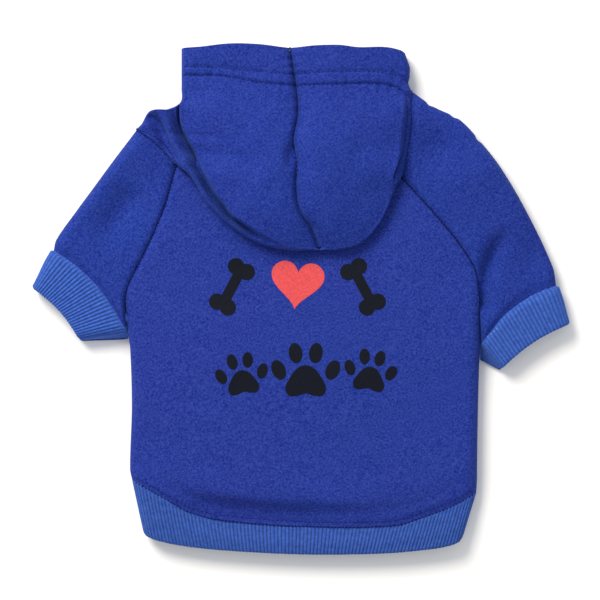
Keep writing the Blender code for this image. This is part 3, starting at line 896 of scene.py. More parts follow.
def sleeve_fold(side, share):
    """Outer fold of a sleeve from the neck (0) to the cuff (1)."""
    start, end = neck_end(side), cuff_corner(side)
    run = (end - start) / abs(end - start)
    swell = SLEEVE_BULGE * read(SLEEVE_ROWS, share, COLUMN[side])
    for notch in SHOULDER_NOTCHES[side]:
        swell = swell - NOTCH_DEPTH * hill(np.asarray(share) - notch, NOTCH_REACH)
    return start + (end - start) * share + 1j * run * side * swell


# Hollows of each sleeve (swells are below zero): place in millimetres, depth and reach in millimetres
SLEEVE_HOLLOWS = {
    LEFT: ((-100, 188, -1.4, 12), (-128, 160, -1.2, 10)),
    RIGHT: ((74, 190, 3.8, 12), (104, 179, -2.6, 12), (132, 128, 3.4, 18), (122, 168, -1.2, 10)),
}
# Valleys of each sleeve: points in millimetres, depth and half width in millimetres
SLEEVE_VALLEYS = {
    LEFT: (((-97, 173), (-103, 161), (-110, 149), (-117, 139), (-124, 130)), 4.2, 9.0),
    RIGHT: (((102, 103), (103.5, 112), (106, 123), (109.5, 132), (114.5, 140), (121, 148)), 6.4, 4.9),
}
# The sleeves and the folded hood take darker copies of the body's dye, as painted shade
SLEEVE_SHADED_BLUE = (0.0130, 0.0312, 0.236)
sleeve_shaded_fleece = fleece("sleeve_shaded_fleece", SLEEVE_SHADED_BLUE)
sleeve_swell = {LEFT: billow(21, 0.045), RIGHT: billow(23, 0.045)}


def sleeve_relief(side):
    """Hollows and swell of a sleeve, and the puckers along its seams."""
    cuff_run = cuff_seam(side, np.linspace(0, 1, 30))
    points, valley_deep, valley_wide = SLEEVE_VALLEYS[side]
    valley = drawn(points)

    def at(place):
        rise = SWELL * sleeve_swell[side](place) + FINE_SWELL * fine_swell(place)
        off, share = beside(valley, place)
        held = ramp(share, 1.0, 0.5) * (1 if side == RIGHT else ramp(share, 0.0, 0.3))
        rise -= held * valley_deep / 1000 * hill(off, valley_wide / 1000)
        for x, y, deep, reach in SLEEVE_HOLLOWS[side]:
            rise -= deep / 1000 * hill(np.abs(place - complex(x, y) / 1000), reach / 1000)
        rise += puckers(31 + side, raglan_lines[side], *RAGLAN_PUCKERS, place)
        rise += puckers(34 + side, cuff_run, *CUFF_PUCKERS, place)
        return rise

    return at


def sleeve(name, side):
    """One sleeve: a strip from the upper seam, round the outer fold, to the lower seam."""
    plan = spread(
        lambda t: raglan(side, 1 - t),
        lambda t: sleeve_fold(side, t),
        lambda t: neck_seam(side, 1 - t),
        lambda t: cuff_seam(side, t),
    )
    middle = float(np.abs(plan(0.5, 1.0) - plan(0.5, 0.0)))
    share = np.linspace(0, 1, SLEEVE_ROW_COUNT)
    along = SEAM_GAP / middle + share * (1 - 2 * SEAM_GAP / middle)
    length = np.abs(plan(1.0, along) - plan(0.0, along))
    dip = end_dip(np.minimum(share, 1 - share) * middle)[:, None]
    faces = []
    for depth in (0.0, CLOTH):
        parts = []
        for relief, shallow in ((sleeve_relief(side), SEAM_SINK), (None, UNDER_SINK)):
            sink = seam_sink(1 - along, shallow)
            place, high = layer(length - SEAM_GAP, (sink, LAY_HEIGHT / 2 + 0 * sink), SLEEVE_FLATS, depth)
            if not relief:
                place, high = place[:, -2::-1], high[:, -2::-1]
            spot = plan((place + SEAM_GAP) / length[:, None], along[:, None])
            high = high - dip * above_middle(high) if relief else LAY_HEIGHT - high
            parts.append(heights(spot, high, relief))
        faces.append(np.concatenate(parts, axis=1))
    return cloth_wall(name, *faces, sleeve_shaded_fleece)


for side, word, flat, area in ((LEFT, "left", (0.160, 0.090), 0.0081), (RIGHT, "right", (0.190, 0.110), 0.0118)):
    piece = sleeve("sleeve_cloth_" + word, side)
    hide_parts("sleeve_" + word)
    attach(piece, "root")

# Cuffs
# Short rings of the same rib knit, folded double with the fold as the opening, sewn round the sleeve ends. The
# ribs run from the seam to the opening. Their under layers slip out below at the body's side.
CUFF_ROW_COUNT = 20
CUFF_RIB_STEPS = 10
CUFF_DIP_REACH = 0.004
CUFF_FLARE = 0.0015
CUFF_TUCK = 0.0050
CUFF_SLIP = 0.75
UNDER_CUFF_DROP = {LEFT: 0.0034, RIGHT: 0.0085}


def cuff_ring(name, side):
    """One cuff, its under layer dropped below the upper one at the body's side."""

    def seam(share):
        return cuff_seam(side, share)

    def under_seam(share):
        return seam(share) - 1j * UNDER_CUFF_DROP[side] * (1 - share) ** TUCK_POWER

    def opening(share):
        return cuff_opening(side, share)

    return knit_ring(
        name, cuff_knit, (seam, opening), (under_seam, opening), CUFF_ROW_COUNT, CUFF_RIB_STEPS,
        lambda across: SEAM_SINK, CUFF_DIP_REACH, CUFF_FLARE, CUFF_TUCK, CUFF_SLIP,
    )


for side, word, flat, area in ((LEFT, "left", (0.130, 0.0255), 0.0032), (RIGHT, "right", (0.115, 0.0255), 0.0027)):
    cuff = cuff_ring("cuff_rib_" + word, side)
    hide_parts("cuff_" + word)
    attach(cuff, "root")

# Hood
# Two shaped halves of fleece joined along the crown, lined up at the neck seam, with a casing turned over and
# stitched down along the mouth. It is folded back over the body, so the crown seam runs down its middle.
HOOD_HALF_WIDTH = 0.0655
HOOD_REACH = 0.0722
HOOD_FALL = 0.0459
HOOD_SHIFT = 0.0035
HOOD_HEIGHT = 0.0312
NAPE_CLEARANCE = 0.0007
NAPE_SETBACK = 0.0050
NECK_EDGE_HEIGHT = 0.0120
CROWN_GAP = 0.0001
NECK_GAP = -0.0003
CASING_STEP = 0.0012
HOOD_ROWS = 250
LEG_STEPS = 14
HOOD_ARC = 10
CROWN_FLATS = 80
ROLL_FLATS = 30
DOME_REACH = 0.050
DOME_ROUND = 1.8
ROLL_STEP = 0.0024
ROLL_SHOULDER = 0.0056
ROLL_VALLEY = 0.0066
ROLL_CREST = 0.0008
ROLL_LIP = 0.0005
NECK_ROLL = 0.0062
NECK_CREASE = 0.0046
CREASE_OFF = 0.0030
CREASE_REACH = 0.0032
LIP_OFF = 0.0012
LIP_REACH = 0.0010
PINCH_DEPTH = 0.0032
PINCH_ACROSS = 0.0028
PINCH_UP = 0.0062
CASING_SLOPE = 0.0020
MOUTH_REACH = 0.011
CORNER_PUSH = 0.0004
ROLL_CROWDING = 1.6
CROWN_CROWDING = 1.3
FOLD_SQUASH = 0.55
HOOD_SWELL = 0.0007
HOOD_FINE_SWELL = 0.00025
CROWN_PUCKERS = (0.0006, 0.0080, 0.007)
CASING_PUCKERS = ((0.00030, 0.0070, 0.006), (0.00035, 0.0062, 0.005))

# Grooves beside the crown seam, the casing's edge and its stitch line: depth and reach in millimetres
CROWN_GROOVES = ((3.0, 1.4), (1.6, 4.8), (1.5, 12.0))
CASING_GROOVES = (((0.7, 1.0), (0.6, 4.2)), ((0.8, 1.0), (0.4, 3.6)))

# Where a shape of the hood starts and where it is whole, up (UP) or across (OUT) the plan, in metres
CROWN_PUCKERS_UP = (0.158, 0.188)
ROLL_UP = (0.226, 0.214)
ROLL_OUT = (-0.010, -0.038)
LEFT_STEP_OUT = (-0.006, -0.034)
RIGHT_STEP_UP = (0.166, 0.186)
VALLEY_OUT = (-0.014, -0.046)
NECK_ROLL_UP = (0.177, 0.187)
NECK_CREASE_UP = (0.184, 0.198)
CORNER_OUT = (0.045, 0.057)
CORNER_UP = (0.224, 0.236)

# The same for the outer roll: off the inner roll, off its own outline, and as shares of the way between them
INNER_OFF = (-0.0006, 0.0006)
OUTLINE_OFF = (0.0, 0.0010)
NECK_INNER_OFF = (0.0, 0.0020)
NECK_OUTLINE_OFF = (-0.00054, 0.00126)
CREST_BETWEEN = (0.0, 0.25)
VALLEY_BETWEEN = (0.25, 0.85)

# Crown seam from the mouth (-1) past the neck (0) to the back fold (1), as shares of the hood's half width
# and height
#              back   across  high
CROWN_ROWS = (
    (-1.00, -0.046, 0.49),
    (-0.81, -0.010, 0.55),
    (-0.57, 0.025, 0.66),
    (-0.43, 0.025, 0.75),
    (-0.24, -0.010, 0.86),
    (-0.05, 0.018, 0.93),
    (0.13, 0.011, 0.96),
    (0.36, 0.020, 0.98),
    (0.51, 0.046, 0.99),
    (0.63, 0.096, 0.99),
    (0.71, 0.146, 0.99),
)

# Hood sections from the mouth to the neck seam: the fold's place, the crown seam's place, and the throat
# edge's place, a share of the way (-1 mouth to 0 neck) down the middle, then along neckline and neck seam
#                 fold across and back   crown  throat
THROAT_ROWS = {
    LEFT: (
        (-1.00, -0.99, -1.00, -0.98),
        (-1.00, -0.84, -0.84, -0.82),
        (-1.00, -0.77, -0.77, -0.74),
        (-1.00, -0.75, -0.75, -0.70),
        (-1.00, -0.67, -0.67, -0.52),
        (-1.01, -0.55, -0.53, -0.26),
        (-1.14, -0.49, -0.43, 0.00),
        (-1.28, -0.48, -0.35, 0.50),
        (-1.35, -0.38, -0.28, 0.98),
        (-1.38, -0.35, -0.24, 1.50),
    ),
    RIGHT: (
        (0.97, -0.95, -1.00, -0.98),
        (1.01, -0.84, -0.84, -0.82),
        (1.01, -0.77, -0.77, -0.74),
        (1.01, -0.75, -0.75, -0.70),
        (1.00, -0.71, -0.67, -0.40),
        (1.01, -0.68, -0.58, 0.00),
        (1.02, -0.66, -0.50, 0.50),
        (1.025, -0.65, -0.44, 0.98),
        (1.03, -0.64, -0.39, 1.50),
    ),
}
CASING_SECTIONS = 3

# Hood sections along the neck seam: share from its outer end to the raglan's top, crown seam's place, and the
# cloth's lean where it leaves the seam, 0 upright to 1 level, and the fold's thickness
#               along  crown left and right  lean  thick
NECK_ROWS = (
    (0.00, -0.19, -0.33, 0.00, 0.012),
    (0.30, -0.14, -0.24, 0.50, 0.012),
    (0.65, -0.06, -0.12, 0.50, 0.012),
    (1.00, 0.06, 0.05, 0.00, 0.018),
)

# Hood sections from the raglan's top to the back fold: the fold's place, the crown seam's place, and the
# place along the back neckline, from either side (0) to its middle (0.5), and the fold's thickness
#               fold across and back  crown  nape  thick
NAPE_ROWS = {
    LEFT: (
        (-0.93, 0.05, 0.16, 0.10, 0.0092),
        (-0.86, 0.19, 0.25, 0.15, 0.0090),
        (-0.79, 0.36, 0.36, 0.21, 0.0088),
        (-0.57, 0.69, 0.48, 0.31, 0.0084),
        (-0.34, 0.90, 0.57, 0.39, 0.0078),
        (-0.07, 1.00, 0.65, 0.45, 0.0072),
        (0.219, 1.00, 0.71, 0.50, 0.0068),
    ),
    RIGHT: (
        (0.90, 0.16, 0.15, 0.08, 0.0064),
        (0.86, 0.30, 0.25, 0.13, 0.0062),
        (0.80, 0.52, 0.38, 0.20, 0.0062),
        (0.70, 0.75, 0.50, 0.30, 0.0062),
        (0.56, 0.93, 0.59, 0.38, 0.0064),
        (0.38, 1.00, 0.65, 0.45, 0.0066),
        (0.219, 1.00, 0.71, 0.50, 0.0068),
    ),
}

# Dents of the hood's upper layer: place, depth as a share of the hood's height, reach as a share of its
# half width
#              across  back  depth reach
HOOD_DENTS = (
    (-0.30, -0.45, 0.04, 0.30),
    (0.62, 0.30, 0.05, 0.30),
)


def hood_place(across, back):
    """Place on the hood: across in half widths, back from the mouth (-1) past the neck to the fold (1)."""
    neck = (raglan(LEFT, 1) + raglan(RIGHT, 1)) / 2
    run = np.where(np.asarray(back) > 0, HOOD_FALL, HOOD_REACH)
    return neck + HOOD_SHIFT + across * HOOD_HALF_WIDTH - 1j * back * run


def throat_edge(side, share):
    """Edge of the hood's lower layer: down the middle (-1 to 0), the neckline (to 1) and neck seam (to 2)."""
    if share < 0:
        mouth = hood_place(CROWN_ROWS[0][1], -1)
        return mouth + (front_neck(0.5) - mouth) * (1 + share)
    if share <= 1:
        return front_neck(0.5 + side * share / 2)
    return neck_seam(side, 2 - share)


def crown_point(side, back):
    """Place of the crown seam on one half."""
    return complex(hood_place(read(CROWN_ROWS, back, 1), back)) + side * CROWN_GAP / 2


# Lines of the hood's folds, in millimetres in plan
CASING_LINES = (
    ((-71.8, 239.2), (-45.7, 237.8), (-22.5, 235.5), (-8.6, 234.7), (14.1, 235.6), (41.9, 235.6), (54.1, 233.2),
     (61.0, 228.0)),
    ((-71.8, 234.3), (-45.7, 233.2), (-26.5, 229.7), (-6.2, 228.2), (14.1, 228.5), (41.9, 229.1), (52.9, 226.8),
     (60.5, 221.0)),
)
LEFT_ROLL = (
    (-68.0, 258.0), (-69.5, 238.0), (-71.6, 224.0), (-72.2, 213.0), (-71.2, 205.0), (-67.7, 197.2), (-63.5, 189.5),
    (-60.2, 181.9), (-55.9, 173.5), (-50.9, 165.0), (-45.8, 158.3), (-41.6, 152.4), (-36.5, 149.0), (-31.5, 145.7),
    (-26.0, 142.2), (-19.5, 138.6), (-12.0, 135.4), (-4.0, 133.0), (12.0, 131.0),
)
RIGHT_ROLL = (
    (56.0, 258.0), (56.5, 232.0), (58.0, 222.7), (58.0, 214.0), (57.0, 204.7), (55.8, 191.4), (53.0, 178.1),
    (48.8, 163.0), (42.8, 149.0), (32.0, 139.5), (12.0, 136.5),
)
# The outer roll at the left: from the outline down the base of the hood, then the hood's own lower edge
OUTER_ROLL = (
    (-91.0, 213.6), (-84.9, 210.0), (-81.3, 205.3), (-78.7, 198.9), (-76.1, 192.0), (-71.9, 185.3), (-68.9, 179.2),
    (-64.2, 174.0), (-57.4, 162.4), (-52.6, 156.6), (-43.4, 147.3), (-29.4, 138.0), (-12.6, 133.4),
)
# How far the mouth's edge waves from straight, in millimetres, at places across in millimetres
#             across  wave
MOUTH_ROWS = (
    (-72.0, -0.9),
    (-60.0, -0.3),
    (-43.0, 1.3),
    (-26.5, 0.7),
    (-8.8, -1.2),
    (8.0, 0.8),
    (20.0, 1.5),
    (31.0, 0.9),
    (46.5, 2.0),
    (54.0, 0.8),
    (58.0, -0.9),
    (61.0, -2.4),
)
casing_lines = [drawn(line) for line in CASING_LINES]
left_roll, right_roll, outer_roll = drawn(LEFT_ROLL), drawn(RIGHT_ROLL), drawn(OUTER_ROLL)
crown_backs = np.linspace(-1, 0.71, 90)
CROWN_PINCH = -0.0082 + 0.1875j
crown_line = hood_place(read(CROWN_ROWS, crown_backs, 1), crown_backs)
crown_line = np.append(crown_line, hood_place(0.219, 1.0))
# The hood's fleece is the body's dye darkened, as painted shade
HOOD_SHADED_BLUE = (0.0132, 0.0296, 0.232)
hood_shaded_fleece = fleece("hood_shaded_fleece", HOOD_SHADED_BLUE)
hood_swell, hood_fine = billow(41, 0.050), billow(43, 0.020)


def grooves(rows, distance):
    """Depth of a seam's grooves this far from its line."""
    return sum(deep / 1000 * hill(distance, reach / 1000) for deep, reach in rows)


def outer_roll_relief(place):
    """Outer roll at the left: a crest at its outline, and a valley between it and the inner roll."""
    held = ramp(place.imag, *ROLL_UP) * ramp(place.real, *ROLL_OUT)
    past = -beside(left_roll, place)[0]
    inner = beside(outer_roll, place)[0]
    share = np.clip(inner, 0, 1) / np.maximum(np.clip(inner, 0, 1) + np.clip(past, 0, 1), 1e-6)
    deep = ROLL_VALLEY * ramp(place.real, *VALLEY_OUT)
    strip = ROLL_CREST * ramp(share, *CREST_BETWEEN) - (deep + ROLL_CREST) * ramp(share, *VALLEY_BETWEEN)
    neck = NECK_ROLL * ramp(place.imag, *NECK_ROLL_UP)
    rise = strip * ramp(past, *INNER_OFF) * ramp(inner, *OUTLINE_OFF)
    rise += neck * ramp(past, *NECK_INNER_OFF) * ramp(inner, *NECK_OUTLINE_OFF)
    rise -= NECK_CREASE * ramp(place.imag, *NECK_CREASE_UP) * hill(inner + CREASE_OFF, CREASE_REACH)
    rise += ROLL_LIP * hill(past + LIP_OFF, LIP_REACH)
    return held * rise


def hood_relief(place):
    """Folds, casing and swell of the hood's upper layer."""
    rise = HOOD_SWELL * hood_swell(place) + HOOD_FINE_SWELL * hood_fine(place)
    for across, back, deep, reach in HOOD_DENTS:
        rise -= deep * HOOD_HEIGHT * hill(np.abs(place - hood_place(across, back)), reach * HOOD_HALF_WIDTH)
    rise -= grooves(CROWN_GROOVES, beside(crown_line, place)[0])
    rise += puckers(51, crown_line, *CROWN_PUCKERS, place) * ramp(place.imag, *CROWN_PUCKERS_UP)
    pinch = place - CROWN_PINCH
    rise -= PINCH_DEPTH * hill(pinch.real, PINCH_ACROSS) * hill(pinch.imag, PINCH_UP)
    casing_sides = [beside(line, place)[0] for line in casing_lines]
    for seed, line, away, rows, waves in zip((57, 53), casing_lines, casing_sides, CASING_GROOVES, CASING_PUCKERS):
        rise += puckers(seed, line, *waves, place) - grooves(rows, away)
    rise += CASING_STEP * ease(casing_sides[1] / CASING_SLOPE + 0.5)
    return rise + outer_roll_relief(place)


def hood_section(fold, crown, edge, low, thick, lean, knit):
    """Section of a hood half from its lower edge round its fold: outer and inner places and heights.

    edge is the end of the lower layer, whose underside is at low. Along the neck seam edge is None: the cloth
    starts at the fold, low is its height there, and lean tips it from upright (0) to level (1).
    """
    radius = thick / 2
    inward = (crown - fold) / abs(crown - fold)
    start = math.pi / 2 * lean
    steps = np.arange(HOOD_ARC) / HOOD_ARC
    walls = []
    for bend, flat in ((radius, radius * FOLD_SQUASH), (radius - knit, radius * FOLD_SQUASH - knit)):
        rise = radius - bend
        if edge is not None:
            centre = low + radius
            leg = abs(edge - fold)
            under = (edge - fold) / leg
            run = leg + (radius * FOLD_SQUASH - leg) * np.arange(LEG_STEPS) / LEG_STEPS
            angle = math.pi / 2 * (1 - steps)
            places = [fold + under * run, fold + under * (radius * FOLD_SQUASH - flat * np.cos(angle))]
            highs = [low + rise + 0 * run, centre - bend * np.sin(angle)]
        else:
            centre = low - radius * math.sin(start)
            places, highs = [], []
        turn = radius * FOLD_SQUASH * math.cos(start)
        angle = start + (math.pi / 2 - start) * np.arange(HOOD_ARC + 1) / HOOD_ARC
        arc = fold + inward * (turn - flat * np.cos(angle)), centre + bend * np.sin(angle)
        if edge is None:
            places.append(np.full(LEG_STEPS + HOOD_ARC, arc[0][0]))
            highs.append(np.full(LEG_STEPS + HOOD_ARC, arc[1][0]))
        walls.append((np.concatenate(places + [arc[0]]), np.concatenate(highs + [arc[1]])))
    return walls, crown


def domed(distance):
    """Rise of a dome this far in from its edge, as a share of its height."""
    return 1 - (1 - np.clip(distance / DOME_REACH, 0, 1)) ** DOME_ROUND


def hood_rise(roll, side, place, low, away):
    """Height of the hood's upper layer: it domes up from its fold, and steps up at the side roll."""
    neck_rise = (raglan(LEFT, 1) + raglan(RIGHT, 1)).imag / 2
    forward = (neck_rise - place.imag) / HOOD_REACH
    behind = (neck_rise - place.imag) / HOOD_FALL
    full = HOOD_HEIGHT * read(CROWN_ROWS, np.where(forward < 0, forward, behind), 2)
    past = side * beside(roll, place)[0]
    held = ramp(place.imag, *ROLL_UP)
    held = held * (ramp(place.imag, *RIGHT_STEP_UP) if side == RIGHT else ramp(place.real, *LEFT_STEP_OUT))
    shoulder = np.minimum(ROLL_SHOULDER, full - low)
    stepped = ease(0.5 - past / ROLL_STEP) * (shoulder + (full - low - shoulder) * domed(-past))
    return low + (full - low) * domed(away) * (1 - held) + stepped * held


def mouth_wave(place):
    """Places of the hood with the mouth's edge let wave a little from straight."""
    mouth = hood_place(0, -1).imag
    wave = read(MOUTH_ROWS, place.real * 1000, 1) / 1000
    corner = CORNER_PUSH * ramp(place.real, *CORNER_OUT) * ramp(place.imag, *CORNER_UP)
    return place + corner + 1j * wave * hill(mouth - place.imag, MOUTH_REACH)


def hood_sections(side):
    """Sections of a hood half from the mouth, along the throat and the neck seam, to the back fold."""
    middle = side * CROWN_GAP / 2
    sections = []
    for number, (across, back, crown_back, throat) in enumerate(THROAT_ROWS[side]):
        edge = complex(throat_edge(side, throat)) + middle + 1j * NECK_GAP
        knit = CLOTH + (CASING_STEP if number < CASING_SECTIONS else 0.0)
        fold = complex(hood_place(across, back))
        sections.append(hood_section(fold, crown_point(side, crown_back), edge, 0.0, LAY_HEIGHT, 0.0, knit))
    for share, *crown_backs, lean, thick in NECK_ROWS:
        crown = crown_point(side, crown_backs[0 if side == LEFT else 1])
        seam = complex(neck_seam(side, share))
        fold = seam + (crown - seam) / abs(crown - seam) * NECK_GAP
        low = NECK_EDGE_HEIGHT if share else LAY_HEIGHT / 2
        sections.append(hood_section(fold, crown, None, low, thick, lean, CLOTH))
    nape_low = LAY_HEIGHT + BODY_CROWN + NAPE_CLEARANCE
    for across, back, crown_back, nape, thick in NAPE_ROWS[side]:
        edge = complex(back_neck(nape if side == LEFT else 1 - nape)) + middle + 1j * NAPE_SETBACK
        fold = complex(hood_place(across, back)) + middle
        sections.append(hood_section(fold, crown_point(side, crown_back), edge, nape_low, thick, 0.0, CLOTH))
    return sections


def roll_crossing(side, roll, top, crown):
    """Share of the way from each row's fold to the crown seam at which it crosses the roll, evened out."""
    tries = np.linspace(0, 0.5, 120)
    past = side * beside(roll, top + (crown - top) * tries)[0]
    crossing = np.where((past > 0).any(axis=1), tries[np.argmax(past < 0, axis=1)], 0.0)
    crossing = np.pad(np.clip(crossing, 0.03, 0.45), 2, mode="edge")
    return np.convolve(crossing, np.ones(5) / 5, "valid")[:, None]


def hood_half(name, side):
    """Half of the hood: the lower layer at the throat, the fold round its side, and the upper layer."""
    sections = hood_sections(side)
    crowns = np.array([crown for _, crown in sections])
    tops = np.array([walls[0][0][-1] for walls, _ in sections])
    at = np.concatenate([[0], np.cumsum(np.abs(np.diff(tops)) + np.abs(np.diff(crowns)) + 0.002)])
    rows = np.linspace(0, at[-1], HOOD_ROWS)
    top, crown = glide(at, tops, rows)[:, None], glide(at, crowns, rows)[:, None]
    roll = left_roll if side == LEFT else right_roll
    crossing = roll_crossing(side, roll, top, crown)
    outside = crossing * (1 - (1 - np.linspace(0, 1, ROLL_FLATS + 1)[1:]) ** ROLL_CROWDING)
    inside = crossing + (1 - crossing) * np.linspace(0, 1, CROWN_FLATS + 1)[1:] ** CROWN_CROWDING
    place = top + (crown - top) * np.concatenate([outside, inside], axis=1)
    turn = np.sin(math.pi / 2 * np.arange(HOOD_ARC + 1) / HOOD_ARC) ** 2
    lift = np.concatenate([np.zeros(LEG_STEPS + HOOD_ARC), turn])
    outer_low = glide(at, np.array([walls[0][1][-1] for walls, _ in sections]), rows)[:, None]
    upper = hood_rise(roll, side, place, outer_low, np.abs(place - top)) + hood_relief(place)
    faces = []
    for wall in (0, 1):
        fold_place, fold_high = (
            glide(at, np.array([walls[wall][part] for walls, _ in sections]), rows) for part in (0, 1)
        )
        knit = outer_low - fold_high[:, -1:] if wall else 0.0
        fold_high = np.maximum(fold_high + lift * hood_relief(fold_place), CLOTH * wall)
        whole = mouth_wave(np.concatenate([fold_place, place], axis=1))
        faces.append(heights(whole, np.concatenate([fold_high, upper - knit], axis=1)))
    return cloth_wall(name, *faces, hood_shaded_fleece)


for side, word, flat, area in ((LEFT, "left", (0.150, 0.130), 0.0161), (RIGHT, "right", (0.140, 0.125), 0.0147)):
    piece = hood_half("hood_cloth_" + word, side)
    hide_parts("hood_" + word)
    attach(piece, "root")

# Stitching
# Polyester sewing thread in dark navy: a row above the hem seam and the seam's own, two round the hood's casing,
# one down each edge of the neck seam, the coarser row that closes the crown, the lockstitch in the raglan seams,
# and a light bar tack at the right cuff.
THREAD_NAVY = (0.0040, 0.0085, 0.085)
THREAD_LIGHT = (0.10, 0.22, 0.52)
THREAD_SHINE = {"Roughness": 0.8, "Specular_IOR_Level": 0.08}
THREAD_SINK = 0.00004
TOPSTITCH_INSET = 0.0030
HEM_STITCH_INSET = 0.0003
SEAM_STITCH_INSET = 0.0004
NECK_STITCH_BOW = 0.0024
TACK_ENDS = (0.1057 + 0.0835j, 0.1109 + 0.0876j)

# Stitches: pitch, length and thread radius
TOPSTITCH = (0.0026, 0.0019, 0.00024)
SEAM_STITCH = (0.0021, 0.0016, 0.00040)
RAGLAN_STITCH = (0.0020, 0.0018, 0.00042)
CROWN_STITCH = (0.0024, 0.0018, 0.00075)
TACK_STITCH = (0.0021, 0.0017, 0.00035)


def stitch_tree():
    """Lays a row of stitches along a line of thread."""
    labels = ("Stitch pitch", "Stitch length", "Thread radius")
    sizes = [(label, "Float", size) for label, size in zip(labels, TOPSTITCH)]
    inputs = (("Geometry", "Geometry"), *sizes, ("Thread", "Material"))
    tree, given, out = node_group("stitch_row", "GeometryNodeTree", inputs, (("Geometry", "Geometry"),))
    line = step(tree, "GeometryNodeMeshToCurve", Mesh=given["Geometry"])
    spaced = step(
        tree, "GeometryNodeResampleCurve", settings={"mode": "LENGTH"}, Curve=line, Length=given["Stitch pitch"]
    )
    tangent = tree.nodes.new("GeometryNodeInputTangent").outputs[0]
    turned = step(tree, "FunctionNodeAlignRotationToVector", settings={"axis": "X"}, Vector=tangent)
    bead = step(tree, "GeometryNodeMeshUVSphere", Segments=6, Rings=4, Radius=0.5)
    radius = given["Thread radius"]
    size = step(tree, "ShaderNodeCombineXYZ", X=given["Stitch length"], Y=radius, Z=radius)
    doubled = vectors(tree, "MULTIPLY", size, (1.0, 2.0, 2.0))
    stitch = step(tree, "GeometryNodeTransform", Geometry=bead, Scale=doubled)
    uneven = add(tree, "FunctionNodeRandomValue", settings={"data_type": "FLOAT"}, Seed=8)
    uneven.inputs[2].default_value = 0.85
    uneven.inputs[3].default_value = 1.1
    sewn = step(
        tree, "GeometryNodeInstanceOnPoints", Points=spaced, Instance=stitch, Rotation=turned,
        Scale=uneven.outputs[1],
    )
    dyed(tree, out, sewn, given["Thread"])
    return tree


def thread_material(name, colour):
    """Twisted polyester thread with a faint lustre."""
    thread, shader = plain_material(name, **THREAD_SHINE)
    tree = thread.node_tree
    twist = noise(tree, tree.nodes.new("ShaderNodeTexCoord").outputs["Object"], 2600.0, 2.0, 0.5)
    tone = step(tree, "ShaderNodeMapRange", Value=twist, To_Min=0.7, To_Max=1.3)
    tree.links.new(vectors(tree, "SCALE", colour, Scale=tone), shader.inputs["Base Color"])
    return thread


def sight(*pieces):
    """The upper surface of some pieces, to lay things on: a function of places in plan."""
    trees = [
        BVHTree.FromPolygons([v.co for v in p.data.vertices], [f.vertices[:] for f in p.data.polygons])
        for p in pieces
    ]

    def at(places, lift):
        points = []
        for spot in np.ravel(places) - LAID_MIDDLE:
            hits = [tree.ray_cast((spot.real, spot.imag, 0.1), (0, 0, -1))[0] for tree in trees]
            tops = [hit.z for hit in hits if hit is not None]
            if tops:
                points.append((spot.real, spot.imag, max(tops) + lift))
        return points

    return at


stitch_row = stitch_tree()
navy_thread = thread_material("navy_thread", THREAD_NAVY)


def sewn_row(name, cloths, lines, stitch, thread=navy_thread):
    """Rows of stitches along lines in plan, lying on the cloths."""
    on_top = sight(*cloths)
    points, edges = [], []
    for line in lines:
        laid = on_top(line, -THREAD_SINK)
        edges += [(len(points) + i, len(points) + i + 1) for i in range(len(laid) - 1)]
        points += laid
    mesh = bpy.data.meshes.new(name)
    mesh.from_pydata(points, edges, [])
    row = put(name, mesh)
    pitch, length, radius = stitch
    grown(row, stitch_row, Thread=thread, Stitch_pitch=pitch, Stitch_length=length, Thread_radius=radius)
    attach(row, "root")


def inset(line, distance):
    """A line beside another in plan, to its left."""
    heading = np.gradient(line)
    return line + 1j * heading / np.abs(heading) * distance


cloths = {piece.name: piece for piece in bpy.context.scene.objects if piece.name.endswith(("_left", "_right"))}
hood_cloths = [cloths["hood_cloth_left"], cloths["hood_cloth_right"]]
sleeve_cloths = [cloths["sleeve_cloth_left"], cloths["sleeve_cloth_right"]]
hem_run = hem_seam(np.linspace(0.012, 0.988, 160))
raglan_runs = [
    inset(raglan(side, np.linspace(0.30, 0.99, 90)), side * SEAM_STITCH_INSET) for side in (LEFT, RIGHT)
]
neck_run = neck_seam(LEFT, np.linspace(0.02, 1.0, 50))
neck_bow = NECK_STITCH_BOW * np.sin(math.pi * np.linspace(0, 1, 50)) + SEAM_STITCH_INSET
neck_runs = [inset(neck_run, neck_bow), inset(neck_run, -SEAM_STITCH_INSET)]

sewn_row("hem_topstitch", [back], [inset(hem_run, TOPSTITCH_INSET)], TOPSTITCH)
sewn_row("hem_seam_stitches", [back, band], [inset(hem_run, HEM_STITCH_INSET)], SEAM_STITCH)
sewn_row("casing_stitches", hood_cloths, [line[2:-2] for line in casing_lines], TOPSTITCH)
sewn_row("raglan_stitches", [back, *sleeve_cloths], raglan_runs, RAGLAN_STITCH)
sewn_row("neck_stitches", [*hood_cloths, *sleeve_cloths], neck_runs, SEAM_STITCH)
sewn_row("crown_stitches", hood_cloths, [crown_line[1:60]], CROWN_STITCH)
sewn_row(
    "cuff_bar_tack", [cloths["cuff_rib_right"], cloths["sleeve_cloth_right"]], [np.linspace(*TACK_ENDS, 4)],
    TACK_STITCH, thread_material("light_thread", THREAD_LIGHT),
)

# Print
# Soft plastisol ink pressed on the back in near black and coral: a heart between two bones over three paw
# prints. The film is thin, and takes up the cloth's own grain.
INK_BLACK = (0.0022, 0.0036, 0.0095)
INK_CORAL = (0.620, 0.068, 0.075)
INK_SHINE = {"Roughness": 0.62, "Specular_IOR_Level": 0.12}
INK_FILM = 0.00018
INK_STEP = 0.0022


def ring_of(count):
    """Angles evenly round a circle."""
    return np.linspace(0, 2 * math.pi, count, endpoint=False)


def heart_shape():
    """Plain heart, about 2 across."""
    t = ring_of(72)
    x = 16 * np.sin(t) ** 3
    y = 13 * np.cos(t) - 5 * np.cos(2 * t) - 2 * np.cos(3 * t) - np.cos(4 * t)
    return [(x + 1j * (y + 2)) / 16.5]


